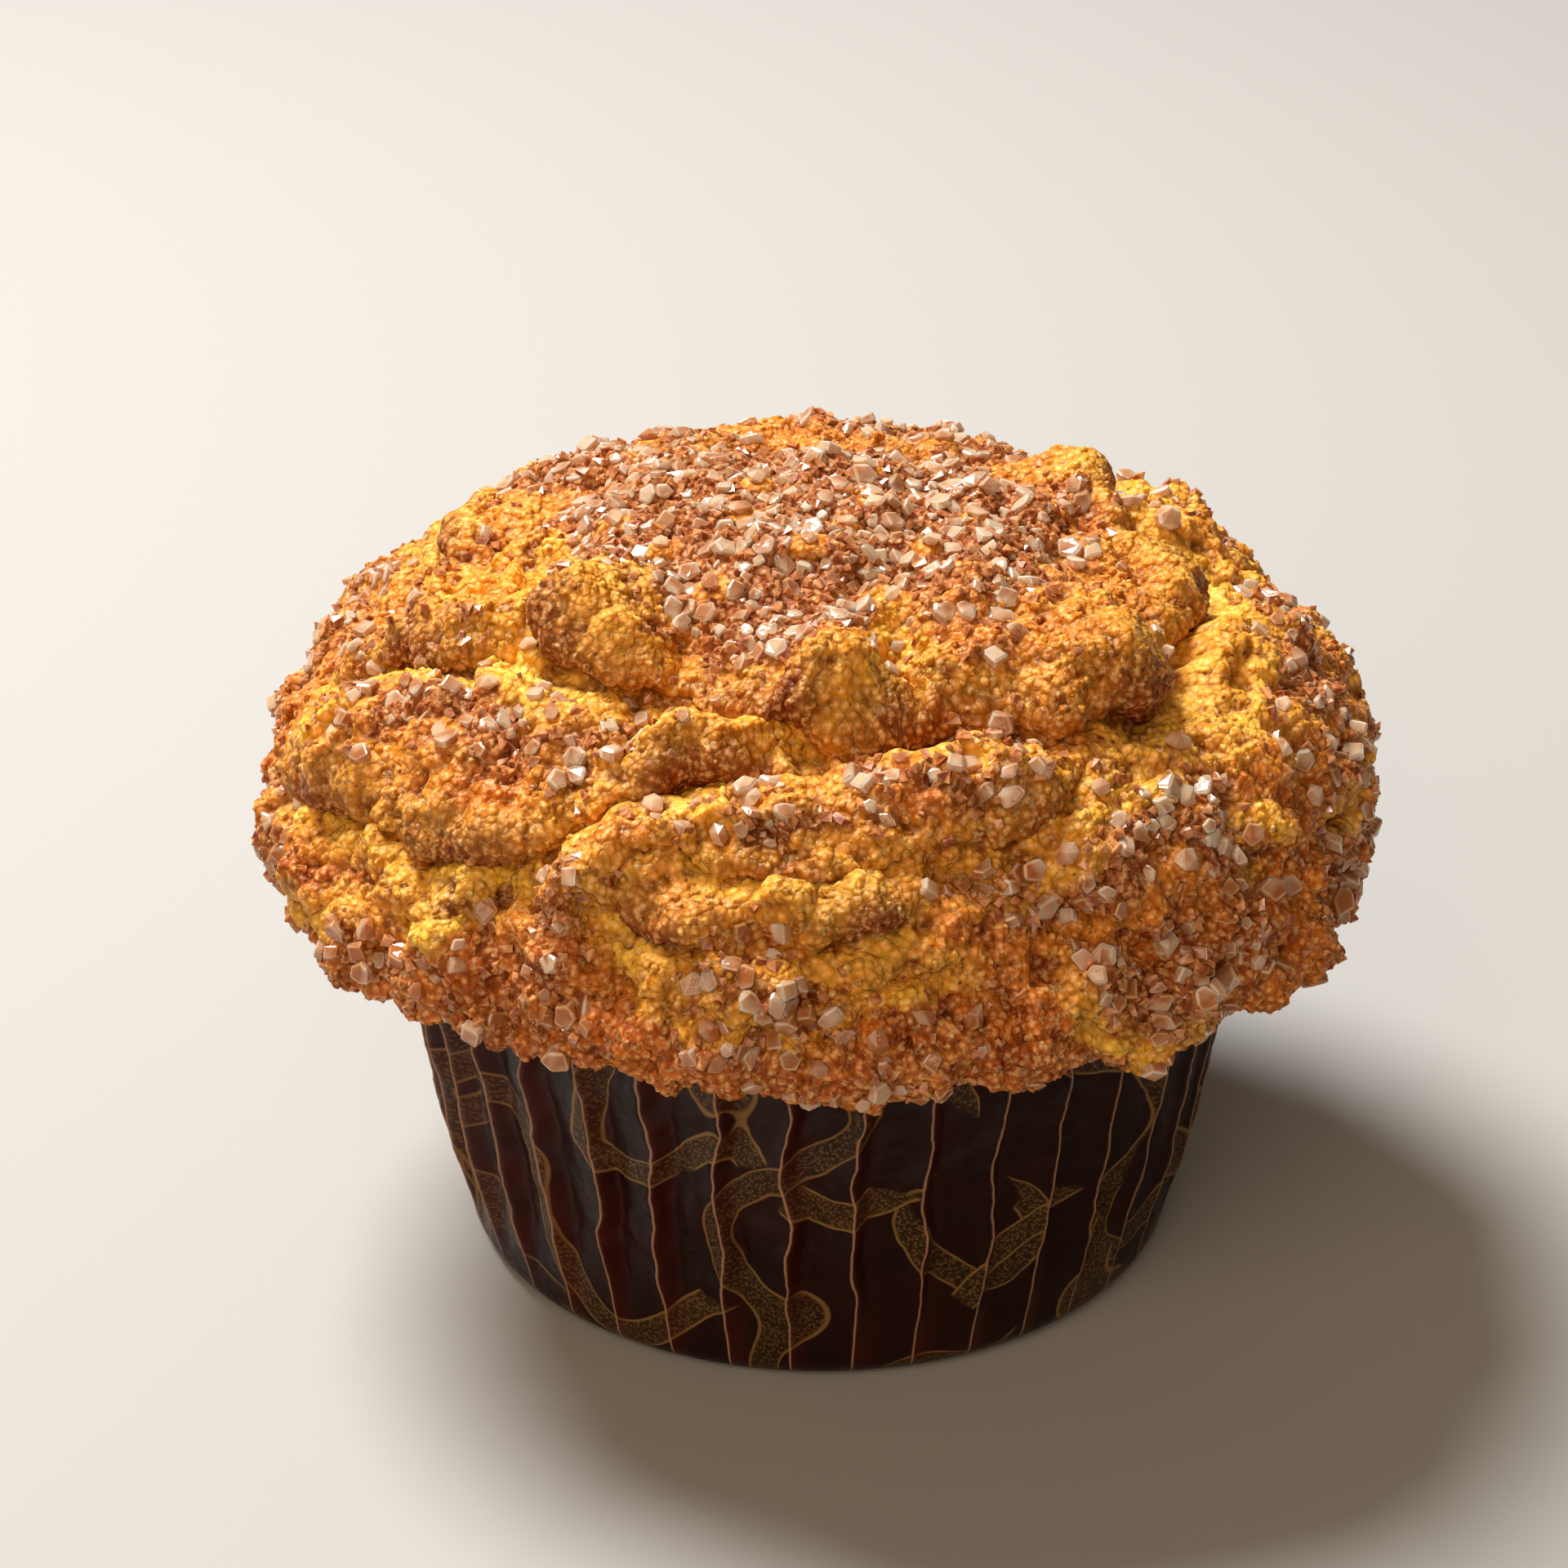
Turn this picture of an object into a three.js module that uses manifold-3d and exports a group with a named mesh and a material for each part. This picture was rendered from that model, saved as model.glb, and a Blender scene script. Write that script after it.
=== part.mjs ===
// A large bakery muffin in its fluted paper case, its crown strewn with coarse sugar.
// Millimetres, +Z up. The origin is the middle of the flat base that the muffin stands on.
//
// Pieces: the muffin itself, baked as one piece; the paper case that it was baked in; and the
// largest of the sugar crystals that stick to its crust, each a separate chip.
import * as THREE from "three";
import { ConvexGeometry } from "three/addons/geometries/ConvexGeometry.js";
import { mergeVertices } from "three/addons/utils/BufferGeometryUtils.js";
import Module from "manifold-3d";

// Paper case, made to line a jumbo muffin tin.
const BASE_RADIUS = 34.3;
const CASE_HEIGHT = 39;
const CASE_FLARE = 0.165; // growth of the wall's radius for each millimetre of height
const CASE_FOOT = 2.5; // height of the rounded turn from base to wall
const PAPER = 0.3; // pressed, overlapping pleats of greaseproof paper
const PLEATS = 38;
const PLEAT_DEPTH = 1.1; // half the radial depth of a pleat, at full height
const PLEAT_FOOT = 0.8; // height at which the pleats begin, in the rounded foot
const PLEAT_START = 14; // height at which the pleats have opened to their full depth

// One pleat: a sharp crest, a steep side down to the fold, then a broad panel up to the next
// crest. Each corner is [share of the pleat's width, share of PLEAT_DEPTH].
const PLEAT_CORNERS = [[0, 1], [0.24, -0.8], [0.5, -0.3], [0.78, 0.4]];

// Crown, which rises over the tin and spreads beyond the case.
const CROWN_RADIUS = 52;
const CROWN_EDGE_HEIGHT = 42.8; // height of its widest ring
const CROWN_RISE = 29.2; // from the widest ring to the top
const CROWN_SQUARENESS = 2.1; // 2 is an ellipse; more gives fuller shoulders
const CROWN_UNDERCUT = 9; // how far in the rounded lower edge turns
const UNDERSIDE_HEIGHT = 39.6; // the underside, which lay on the tin's deck
const CROWN_INSIDE = 3; // how far the stump of crumb reaches up into the crown

const GAP = 0.3; // clearance between pieces that touch
const CROWN_DETAIL = 17; // geodesic subdivision of the crown
const LUMP_EDGE = [0.65, 1.25]; // where a lump's edge starts and ends, as a share of its oval
const LUMPS_END = 1.25; // share of the way down the outline at which the lumps have died out

// Lumps of the crown, on its skin unrolled flat from the top, with +Y towards the back:
// [x, y, half length, half width, turn in degrees, height].
const LUMPS = [
  [-1, -1, 25, 17, 0, 2.6], // the cap
  [17, -19, 12, 11, 20, 3.4], // its right nose
  [-3, -19, 9, 11, 0, 2.6], // its middle nose
  [-18, -19, 5, 7, 0, 2.4], // its left nose
  [-32, -23, 18, 10, -18, 2.8], // left plate
  [-34, -9, 13, 5, -16, 1.8], // ridge above the left plate
  [-3, -42, 20, 5, 7, 2.2], // front ridge
  [11, -38, 6, 5, 20, 1.2], // its right nose
  [-5, -51, 16, 4.5, 3, 1.4], // lower front fold
  [31, -35, 17, 13, 35, 2.6], // right plate
  [46, -9, 11, 14, 0, 2], // right shoulder
  [31, 13, 10, 11, 20, 3], // knob behind the right shoulder
  [4, -62, 30, 6, 0, 1.4], // front edge
  [-47, -44, 18, 6, -42, 1.2], // left front edge
  [46, -45, 16, 7, 44, 1.4], // right front edge
  [-56, -14, 8, 16, 0, 1.2], // left edge
  [-20, 22, 15, 11, 25, 2.4], // back left plate
  [8, 30, 14, 10, -8, 2], // back plate
  [-42, 12, 10, 11, 0, 1.6], // left shoulder
  [-36, 40, 15, 9, 48, 1.8], // back left edge plate
  [-6, 52, 18, 8, 5, 1.7], // back edge plate
  [32, 44, 16, 9, -38, 2.2], // back right edge plate
  [56, 16, 8, 14, 15, 1.6], // right edge
];

// Where the sugar fell thickest, on the same unrolled skin:
// [x, y, half length, half width, turn in degrees, crystals].
const SUGAR_DRIFTS = [
  [-2, -7, 21, 15, 0, 13],
  [-33, -23, 14, 7, -18, 6],
  [-10, -42, 9, 3, 5, 3],
  [10, -39, 5, 3, 20, 2],
  [29, -37, 11, 7, 35, 5],
  [47, -14, 5, 11, 0, 3],
  [-41, -45, 13, 3, -35, 3],
  [-2, -61, 20, 3, 0, 4],
  [-20, 22, 10, 7, 25, 3],
  [12, 29, 11, 6, -8, 3],
  [33, 43, 10, 5, -38, 2],
];

const CRYSTAL_LENGTH = 2.3; // average length of a coarse sugar crystal
const CRYSTAL_CORNERS = 11;

const wasm = await Module();
wasm.setup();

// Repeatable random numbers from 0 to 1.
function randomSource(seed) {
  let state = seed;
  return () => {
    state = (state * 1664525 + 1013904223) % 4294967296;
    return state / 4294967296;
  };
}

function solidFrom(geometry) {
  const bare = geometry.clone();
  bare.deleteAttribute("normal");
  bare.deleteAttribute("uv");
  const merged = mergeVertices(bare, 1e-4);
  return new wasm.Manifold(
    new wasm.Mesh({
      numProp: 3,
      vertProperties: new Float32Array(merged.attributes.position.array),
      triVerts: new Uint32Array(merged.index.array),
    }),
  );
}

function geometryFrom(solid) {
  const { vertProperties, triVerts } = solid.getMesh();
  const geometry = new THREE.BufferGeometry();
  geometry.setAttribute("position", new THREE.BufferAttribute(vertProperties, 3));
  geometry.setIndex(new THREE.BufferAttribute(triVerts, 1));
  geometry.computeVertexNormals();
  return geometry;
}

// ---- The case and the stump of crumb inside it share one fluted wall ----

function wallRadius(height) {
  const foot = Math.min(height / CASE_FOOT, 1);
  const turn = CASE_FOOT * (1 - Math.sqrt(1 - (1 - foot) ** 2));
  return BASE_RADIUS - turn + CASE_FLARE * height;
}

function pleatDepth(height) {
  return PLEAT_DEPTH * THREE.MathUtils.smoothstep(height, PLEAT_FOOT, PLEAT_START);
}

// Turns a profile of [radius, height, share of the pleats' depth] into a fluted solid of
// revolution. The profile starts and ends on the axis, and every pleat follows PLEAT_CORNERS.
function flutedLathe(profile) {
  const corners = PLEAT_CORNERS.length;
  const outline = profile.map(([radius, height]) => new THREE.Vector2(radius, height));
  const lathe = new THREE.LatheGeometry(outline, PLEATS * corners);
  const position = lathe.attributes.position;
  for (let i = 0; i < position.count; i++) {
    const [radius, height, share] = profile[i % profile.length];
    const column = Math.floor(i / profile.length) % (PLEATS * corners);
    const [across, depth] = PLEAT_CORNERS[column % corners];
    const angle = ((Math.floor(column / corners) + across) / PLEATS) * Math.PI * 2;
    const reach = radius === 0 ? 0 : radius + depth * share * pleatDepth(height);
    position.setXYZ(i, reach * Math.cos(angle), reach * Math.sin(angle), height);
  }
  lathe.setIndex(creaseIndex(profile, PLEATS * corners));
  return lathe;
}

// Every crease runs from the lower right to the upper left of its panel, on the way up a wall and
// on the way down, so that two walls made from one profile lie parallel.
function creaseIndex(profile, columns) {
  const index = [];
  for (let column = 0; column < columns; column++) {
    for (let ring = 0; ring < profile.length - 1; ring++) {
      const here = column * profile.length + ring;
      const beside = here + profile.length;
      if (profile[ring + 1][1] >= profile[ring][1]) {
        index.push(here, beside, here + 1, beside + 1, here + 1, beside);
      } else {
        index.push(here, beside, beside + 1, here, beside + 1, here + 1);
      }
    }
  }
  return index;
}

const WALL_HEIGHTS = [0, CASE_FOOT * 0.35, CASE_FOOT, PLEAT_START * 0.5, PLEAT_START, 25];

function paperCase() {
  const outer = [...WALL_HEIGHTS, CASE_HEIGHT].map((height) => [wallRadius(height), height, 1]);
  const inner = outer.map(([radius, height, share]) => {
    return [radius - PAPER, Math.max(height, PAPER), share];
  });
  inner.reverse();
  return flutedLathe([[0, 0, 0], ...outer, ...inner, [0, PAPER, 0]]);
}

function stump() {
  const inset = PAPER + GAP;
  const top = UNDERSIDE_HEIGHT + CROWN_INSIDE;
  const rings = [...WALL_HEIGHTS, CASE_HEIGHT, top].map((height) => {
    return [wallRadius(height) - inset, Math.max(height, inset), 1];
  });
  return flutedLathe([[0, inset, 0], ...rings, [0, top, 0]]);
}

// ---- Crown ----

// The crown's outline from its top down to its underside, as [radius, height] at a share of the
// way, where 1 is the widest ring.
function crownOutline(way) {
  const power = 2 / CROWN_SQUARENESS;
  if (way <= 1) {
    const angle = (1 - way) * Math.PI * 0.5;
    return [
      CROWN_RADIUS * Math.cos(angle) ** power,
      CROWN_EDGE_HEIGHT + CROWN_RISE * Math.sin(angle) ** power,
    ];
  }
  const turn = Math.min((way - 1) * 3, 1) * Math.PI * 0.5;
  const inward = Math.max(way - 4 / 3, 0) * 1.5;
  return [
    (CROWN_RADIUS - CROWN_UNDERCUT * (1 - Math.cos(turn))) * (1 - inward),
    CROWN_EDGE_HEIGHT - (CROWN_EDGE_HEIGHT - UNDERSIDE_HEIGHT) * Math.sin(turn),
  ];
}

// The same outline measured along its length, so that the skin unrolls without stretching.
const OUTLINE_STEPS = 400; // to the widest ring, and as many again to the middle of the underside
const skinLength = [0];
for (let step = 1; step <= OUTLINE_STEPS * 2; step++) {
  const [radius, height] = crownOutline(step / OUTLINE_STEPS);
  const [lastRadius, lastHeight] = crownOutline((step - 1) / OUTLINE_STEPS);
  skinLength.push(skinLength[step - 1] + Math.hypot(radius - lastRadius, height - lastHeight));
}

function skinLengthTo(way) {
  const step = Math.min(Math.floor(way * OUTLINE_STEPS), skinLength.length - 2);
  const share = way * OUTLINE_STEPS - step;
  return THREE.MathUtils.lerp(skinLength[step], skinLength[step + 1], share);
}

function wayAlongSkin(length) {
  const step = skinLength.findIndex((reached) => reached > length) - 1;
  const share = (length - skinLength[step]) / (skinLength[step + 1] - skinLength[step]);
  return (step + share) / OUTLINE_STEPS;
}

// How far a place on the unrolled skin is from the middle of an oval, where 1 is its edge.
function ovalDistance(x, y, [centreX, centreY, halfLength, halfWidth, turn]) {
  const angle = THREE.MathUtils.degToRad(turn);
  const along = (x - centreX) * Math.cos(angle) + (y - centreY) * Math.sin(angle);
  const across = (y - centreY) * Math.cos(angle) - (x - centreX) * Math.sin(angle);
  return Math.hypot(along / halfLength, across / halfWidth);
}

// Each lump is a low plateau with a rounded edge, a little wider than its oval.
function lumpHeight(x, y) {
  return LUMPS.reduce((sum, lump) => {
    const outside = THREE.MathUtils.smoothstep(ovalDistance(x, y, lump), ...LUMP_EDGE);
    return sum + lump[5] * (1 - outside);
  }, 0);
}

// A point of the crown, for a bearing and a share of the way from top to underside.
function crownPoint(bearing, way) {
  const [radius, height] = crownOutline(way);
  const [nextRadius, nextHeight] = crownOutline(way + 1 / OUTLINE_STEPS);
  const outward = new THREE.Vector2(height - nextHeight, nextRadius - radius).normalize();
  const skin = skinLengthTo(way);
  const fade = 1 - THREE.MathUtils.smoothstep(way, 1, LUMPS_END);
  const lift = lumpHeight(skin * Math.cos(bearing), skin * Math.sin(bearing)) * fade;
  return new THREE.Vector3(
    (radius + outward.x * lift) * Math.cos(bearing),
    (radius + outward.x * lift) * Math.sin(bearing),
    height + outward.y * lift,
  );
}

function crown() {
  const ball = new THREE.IcosahedronGeometry(1, CROWN_DETAIL);
  const position = ball.attributes.position;
  const point = new THREE.Vector3();
  for (let i = 0; i < position.count; i++) {
    point.fromBufferAttribute(position, i).normalize();
    const fromTop = Math.acos(THREE.MathUtils.clamp(point.z, -1, 1)) / (Math.PI * 0.5);
    const bearing = Math.atan2(point.y, point.x);
    position.setXYZ(i, ...crownPoint(bearing, fromTop).toArray());
  }
  return ball;
}

// ---- Sugar ----

const GOLDEN_ANGLE = Math.PI * (3 - Math.sqrt(5));

// A chip of sugar: the convex hull of corners scattered on a squashed ball.
function crystal(random) {
  const length = CRYSTAL_LENGTH * (0.8 + 0.5 * random());
  const size = new THREE.Vector3(length, length * (0.65 + 0.3 * random()), length * 0.5);
  const corners = [];
  for (let i = 0; i < CRYSTAL_CORNERS; i++) {
    const corner = new THREE.Vector3().setFromSphericalCoords(
      0.5,
      Math.acos(1 - (2 * (i + 0.5)) / CRYSTAL_CORNERS),
      i * GOLDEN_ANGLE + random() * 0.9,
    );
    corners.push(corner.multiply(size));
  }
  return new ConvexGeometry(corners);
}

// Places on the unrolled skin, spread evenly over every drift by a sunflower spiral.
function crystalPlaces() {
  return SUGAR_DRIFTS.flatMap(([x, y, halfLength, halfWidth, turn, count]) => {
    const centre = new THREE.Vector2(x, y);
    return Array.from({ length: count }, (_, i) => {
      const reach = Math.sqrt((i + 0.5) / count);
      const bearing = i * GOLDEN_ANGLE;
      return new THREE.Vector2(
        x + halfLength * reach * Math.cos(bearing),
        y + halfWidth * reach * Math.sin(bearing),
      ).rotateAround(centre, THREE.MathUtils.degToRad(turn));
    });
  });
}

const ABOVE_CRUST = 12; // height from which a ray looks for the crust
const BESIDE = 0.02; // a small step along the crust, in radians or as a share of the way
const caster = new THREE.Raycaster();
caster.far = 30;

// Lays a chip flat on the crust at a place on the unrolled skin, with GAP under its lowest corner.
function layOnCrust(chip, crust, place, spin) {
  const bearing = place.angle();
  const way = wayAlongSkin(place.length());
  const start = crownPoint(bearing, way);
  const below = crownPoint(bearing, way + BESIDE);
  const beside = crownPoint(bearing + BESIDE, way);
  const outward = beside.sub(start).cross(below.sub(start)).negate().normalize();
  caster.set(start.addScaledVector(outward, ABOVE_CRUST), outward.clone().negate());
  const hit = caster.intersectObject(crust)[0];
  const facing = hit.face.normal;
  chip.quaternion.setFromUnitVectors(new THREE.Vector3(0, 0, 1), facing);
  chip.rotateZ(spin);
  chip.position.copy(hit.point).addScaledVector(facing, CRYSTAL_LENGTH * 2);
  chip.updateMatrixWorld();
  const corners = chip.geometry.attributes.position;
  let drop = Infinity;
  for (let i = 0; i < corners.count; i++) {
    const corner = new THREE.Vector3().fromBufferAttribute(corners, i);
    caster.set(corner.applyMatrix4(chip.matrixWorld), facing.clone().negate());
    const under = caster.intersectObject(crust)[0];
    if (under) drop = Math.min(drop, under.distance);
  }
  chip.position.addScaledVector(facing, GAP - drop);
}

// ---- Assembly ----

const crumbMaterial = new THREE.MeshStandardMaterial({ color: 0xd68a2c, roughness: 0.75 });
const paperMaterial = new THREE.MeshStandardMaterial({ color: 0x2e160d, roughness: 0.4 });
const sugarMaterial = new THREE.MeshStandardMaterial({ color: 0xf2e4d2, roughness: 0.2 });
crumbMaterial.name = "baked crumb";
paperMaterial.name = "greaseproof paper";
sugarMaterial.name = "coarse sugar";

function namedMesh(name, geometry, material) {
  const mesh = new THREE.Mesh(geometry, material);
  mesh.name = name;
  return mesh;
}

const assembly = new THREE.Group();

const muffinSolid = solidFrom(crown()).add(solidFrom(stump()));
const muffin = namedMesh("muffin", geometryFrom(muffinSolid), crumbMaterial);
assembly.add(muffin);
assembly.add(namedMesh("paper_case", paperCase(), paperMaterial));

const sugar = new THREE.Group();
assembly.add(sugar);
const random = randomSource(7);
crystalPlaces().forEach((place, i) => {
  const name = `sugar_crystal_${String(i + 1).padStart(2, "0")}`;
  const chip = namedMesh(name, crystal(random), sugarMaterial);
  layOnCrust(chip, muffin, place, random() * Math.PI * 2);
  sugar.add(chip);
});

export default assembly;
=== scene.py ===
import bpy
import numpy as np
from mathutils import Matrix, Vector, noise
from mathutils.bvhtree import BVHTree


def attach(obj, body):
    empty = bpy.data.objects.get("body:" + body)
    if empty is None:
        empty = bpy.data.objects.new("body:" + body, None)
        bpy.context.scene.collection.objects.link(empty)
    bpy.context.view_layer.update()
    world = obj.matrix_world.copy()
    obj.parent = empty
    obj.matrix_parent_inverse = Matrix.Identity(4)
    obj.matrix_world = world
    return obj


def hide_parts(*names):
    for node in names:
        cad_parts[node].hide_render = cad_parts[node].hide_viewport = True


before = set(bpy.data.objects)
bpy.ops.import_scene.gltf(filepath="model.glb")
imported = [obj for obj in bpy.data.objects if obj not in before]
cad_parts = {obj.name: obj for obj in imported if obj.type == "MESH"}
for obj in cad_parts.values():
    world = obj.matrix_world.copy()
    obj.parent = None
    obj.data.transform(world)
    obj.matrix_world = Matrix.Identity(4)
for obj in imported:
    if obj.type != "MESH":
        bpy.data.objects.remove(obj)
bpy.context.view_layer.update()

MM = 0.001  # Blender works in metres, and every size below is in millimetres

# ---- Camera ----
# Looks down on the muffin from its front, a little to the left of its middle.
AIM = Vector((-3.44, 0, 44.9))
CAMERA_PITCH = np.radians(26.75)
CAMERA_DISTANCE = 415.4

camera = bpy.data.objects.new("camera", bpy.data.cameras.new("camera"))
camera.data.lens = 100
camera.data.sensor_width = 36
towards_camera = Vector((0, -np.cos(CAMERA_PITCH), np.sin(CAMERA_PITCH)))
camera.location = (AIM + towards_camera * CAMERA_DISTANCE) * MM
camera.rotation_euler = (np.pi / 2 - CAMERA_PITCH, 0, 0)
bpy.context.scene.collection.objects.link(camera)
bpy.context.scene.camera = camera

# ---- The muffin ----
# Cake batter, poured into the case and baked as one piece. It rose out of the case, spread over
# the tin's deck and split while its crust set, so that plates of brown crust lean over cracks
# with soft yellow crumb in them.
CROWN_RADIUS = 52
CROWN_EDGE_HEIGHT = 42.8  # height of the widest ring
CROWN_RISE = 29.2
CROWN_SQUARENESS = 2.1
CROWN_UNDERCUT = 9
UNDERSIDE_HEIGHT = 39.6
STUMP = [(39, 38.4), (33, 4), (31.5, 0.8), (0, 0.8)]  # radius and height inside the case
SKIN_STEPS = 900

# Cracks on the crown's skin, unrolled flat from the top, +y towards the back: the crack's depth,
# how high and how steep its lips are on its left and right as the route goes, how wide it has
# torn, and its route.
CRACKS = [
    (4.5, 2.8, 1.6, 0.0, 6.5, 2.2, [(-27.5, -7), (-25.5, -11), (-24, -14), (-23.5, -18), (-21.5, -24),
     (-17, -26.8), (-12.5, -27.5), (-8, -30), (-4, -31.5), (0, -34), (2.5, -36.5)]),
    (5.0, 2.8, 1.7, 0.3, 8.0, 2.2, [(2.5, -36.5), (5.5, -34), (8, -32.5), (13, -33.5), (18, -32),
     (23, -29.5), (27, -26), (29.5, -20), (31.5, -14), (34, -8), (34, -2), (30, 4), (26, 10), (26, 20)]),
    (3.2, 2.3, 1.7, 0.1, 6.0, 1.6, [(-58, -8), (-54, -14), (-51, -18.5), (-47.5, -23), (-43.5, -29),
     (-38.5, -34), (-33.5, -38), (-28, -41), (-23, -40.8), (-18, -38.8), (-12, -38.8), (-6, -38.3),
     (-1, -37), (2.5, -36.5)]),
    (2.2, 1.5, 1.6, 0.0, 4.0, 1.6, [(-46, -11), (-41, -13.5), (-36, -16), (-31, -19), (-27, -20),
     (-23.5, -20)]),
    (2.3, 1.4, 1.6, 0.2, 3.0, 1.2, [(-23, -44), (-20.5, -48), (-17.5, -50.5), (-12, -53), (-6, -54.5),
     (0, -54), (6, -52.5), (11, -50.5)]),
    (1.8, 1.4, 1.6, 0.3, 2.8, 1.0, [(-19.5, -49), (-17, -45.5), (-13, -45.5), (-8, -47.5), (0, -48.5),
     (7, -47), (12, -46), (17, -43), (20.5, -39), (22, -35.5), (24.5, -32)]),
    (0.7, 0.5, 1.4, 0.2, 2.0, 0.8, [(-14, -49.5), (-6, -51), (2, -50.6), (8, -49.5)]),
    (0.8, 0.0, 3.0, 0.9, 2.2, 1.2, [(14, -48.5), (19, -45), (22, -41), (26, -37.5), (31, -32),
     (36, -25), (39.5, -17), (41, -9), (40, -1)]),
    (1.0, 0.7, 1.5, 0.3, 2.0, 1.4, [(8, -20), (6.5, -25), (8, -29), (8, -33)]),
    (1.1, 0.6, 1.8, 0.5, 1.8, 1.2, [(30, -19), (32.5, -13), (36, -8), (36, -3)]),
    (1.4, 0.5, 1.2, 0.3, 1.2, 0.5, [(37, -36), (40, -37.5), (43.5, -37.3)]),
    (1.3, 0.5, 1.2, 0.3, 1.2, 0.5, [(45, -17), (43.5, -21), (43.8, -25)]),
    (1.0, 0.5, 1.4, 0.3, 1.4, 0.5, [(20, -45), (24, -43), (26, -43.5)]),
    (0.9, 0.6, 1.4, 0.3, 1.8, 0.8, [(-62, -20), (-57, -27), (-52, -33), (-45, -38), (-38, -43), (-30, -46)]),
    (0.9, 0.6, 1.4, 0.3, 1.8, 0.8, [(-22, -50), (-15, -56), (-8, -59.5), (0, -60), (9, -57), (16, -54)]),
    (0.9, 0.6, 1.4, 0.3, 1.8, 0.8, [(-51, -3), (-47, -9), (-44.5, -13)]),
    (1.0, 0.5, 1.6, 0.3, 1.8, 0.8, [(22, -52), (29, -57), (36, -55), (43, -49)]),
    (1.0, 0.5, 1.6, 0.3, 1.8, 0.8, [(49, -28), (53, -22), (55, -14), (54, -5)]),
    (2.4, 1.5, 2.2, 0.1, 3.5, 2.2, [(26, 20), (31, 30), (26, 37), (15, 41), (3, 41), (-9, 38), (-20, 37),
     (-29, 31), (-34, 21), (-36, 11), (-36, 3)]),
    (1.8, 1.0, 2.0, 0.6, 2.2, 1.4, [(-33, 23), (-43, 28), (-52, 35), (-58, 38)]),
    (1.8, 1.0, 2.0, 0.6, 2.2, 1.4, [(4, 41), (8, 50), (5, 59), (7, 67)]),
    (1.6, 0.8, 2.0, 0.6, 2.2, 1.4, [(30, 30), (42, 32), (52, 40)]),
    (1.8, 0.6, 2.0, 1.0, 2.2, 1.4, [(27, 14), (38, 9), (49, 11), (60, 8)]),
    (1.4, 0.8, 1.8, 0.4, 2.2, 1.2, [(-35, 12), (-45, 9), (-56, 12), (-64, 8)]),
]

# Smaller swellings than the CAD crown has, and, with a height below 0, hollows torn open in the
# crumb: middle, half length, half width, turn in degrees, height.
SWELLS = [
    (18, -22, 10, 10, 15, 2.8), (-18, -18, 5, 8, 0, 2.6), (1, -29, 4.5, 7, 0, 2.0),
    (13, -37.5, 8, 3.8, 15, 2.4), (-20, -43.5, 4, 4.5, 0, 2.2), (-9, -42.5, 9, 3, 5, 1.6),
    (-3, -51, 13, 2.4, 2, 1.6), (-8, -34, 10, 3.2, 12, 2.2), (-32, -14.5, 9, 2.8, -20, 2.2),
    (37, -13, 2.6, 7, -25, 1.4), (29, 12, 9, 8, 20, 1.2), (-24, -47, 3.6, 3.2, 0, 2.6),
    (-8, -58, 6, 4.5, 0, 2.4), (30, -53, 6, 4, 0, 1.2), (40, -30, 9, 6, 30, 0.8),
    (-33, -26, 14, 6, -22, 1.0), (-43, -8, 5, 5, 0, 1.2), (-52, -28, 6, 4, -50, 1.1),
    (5, -42, 6, 3, 0, 0.8), (22, -58, 7, 4, 15, 1.0), (52, -33, 5, 5, 0, 1.0),
    (-33, -4, 3.2, 4.2, 0, -2.6), (-26, -5.5, 3.2, 4.8, 10, -2.8), (-29.5, -4.5, 1.4, 4, 5, 1.0),
    (6.5, -26, 2.6, 6, 0, -1.8), (4, -7, 8, 3, 10, -1.0), (31, -24, 3, 6, -30, -1.2),
    (28, 16, 3, 10, 20, -1.4),
]

# Where the crumb was last to set and stayed soft and yellow: middle, half length, half width, turn.
SOFT_PLACES = [
    (-19, -19, 4.5, 7, 0), (-9, -32.5, 7, 2.2, 12), (29, -28, 8, 2.8, 50), (34.5, -14, 8, 3.2, 75),
    (33, 1, 4, 5, 0), (29, 13, 7, 5, 20), (-30, -12, 7, 2, -20), (-29.5, -2.5, 7.5, 6, 0),
    (-46, -18, 7, 1.6, -35), (-2, -47, 7, 1.2, 3), (2, -56, 9, 1.4, 3), (-39, -36, 8, 1.6, -42),
    (40, -33, 3, 1.8, 30),
]

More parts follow.
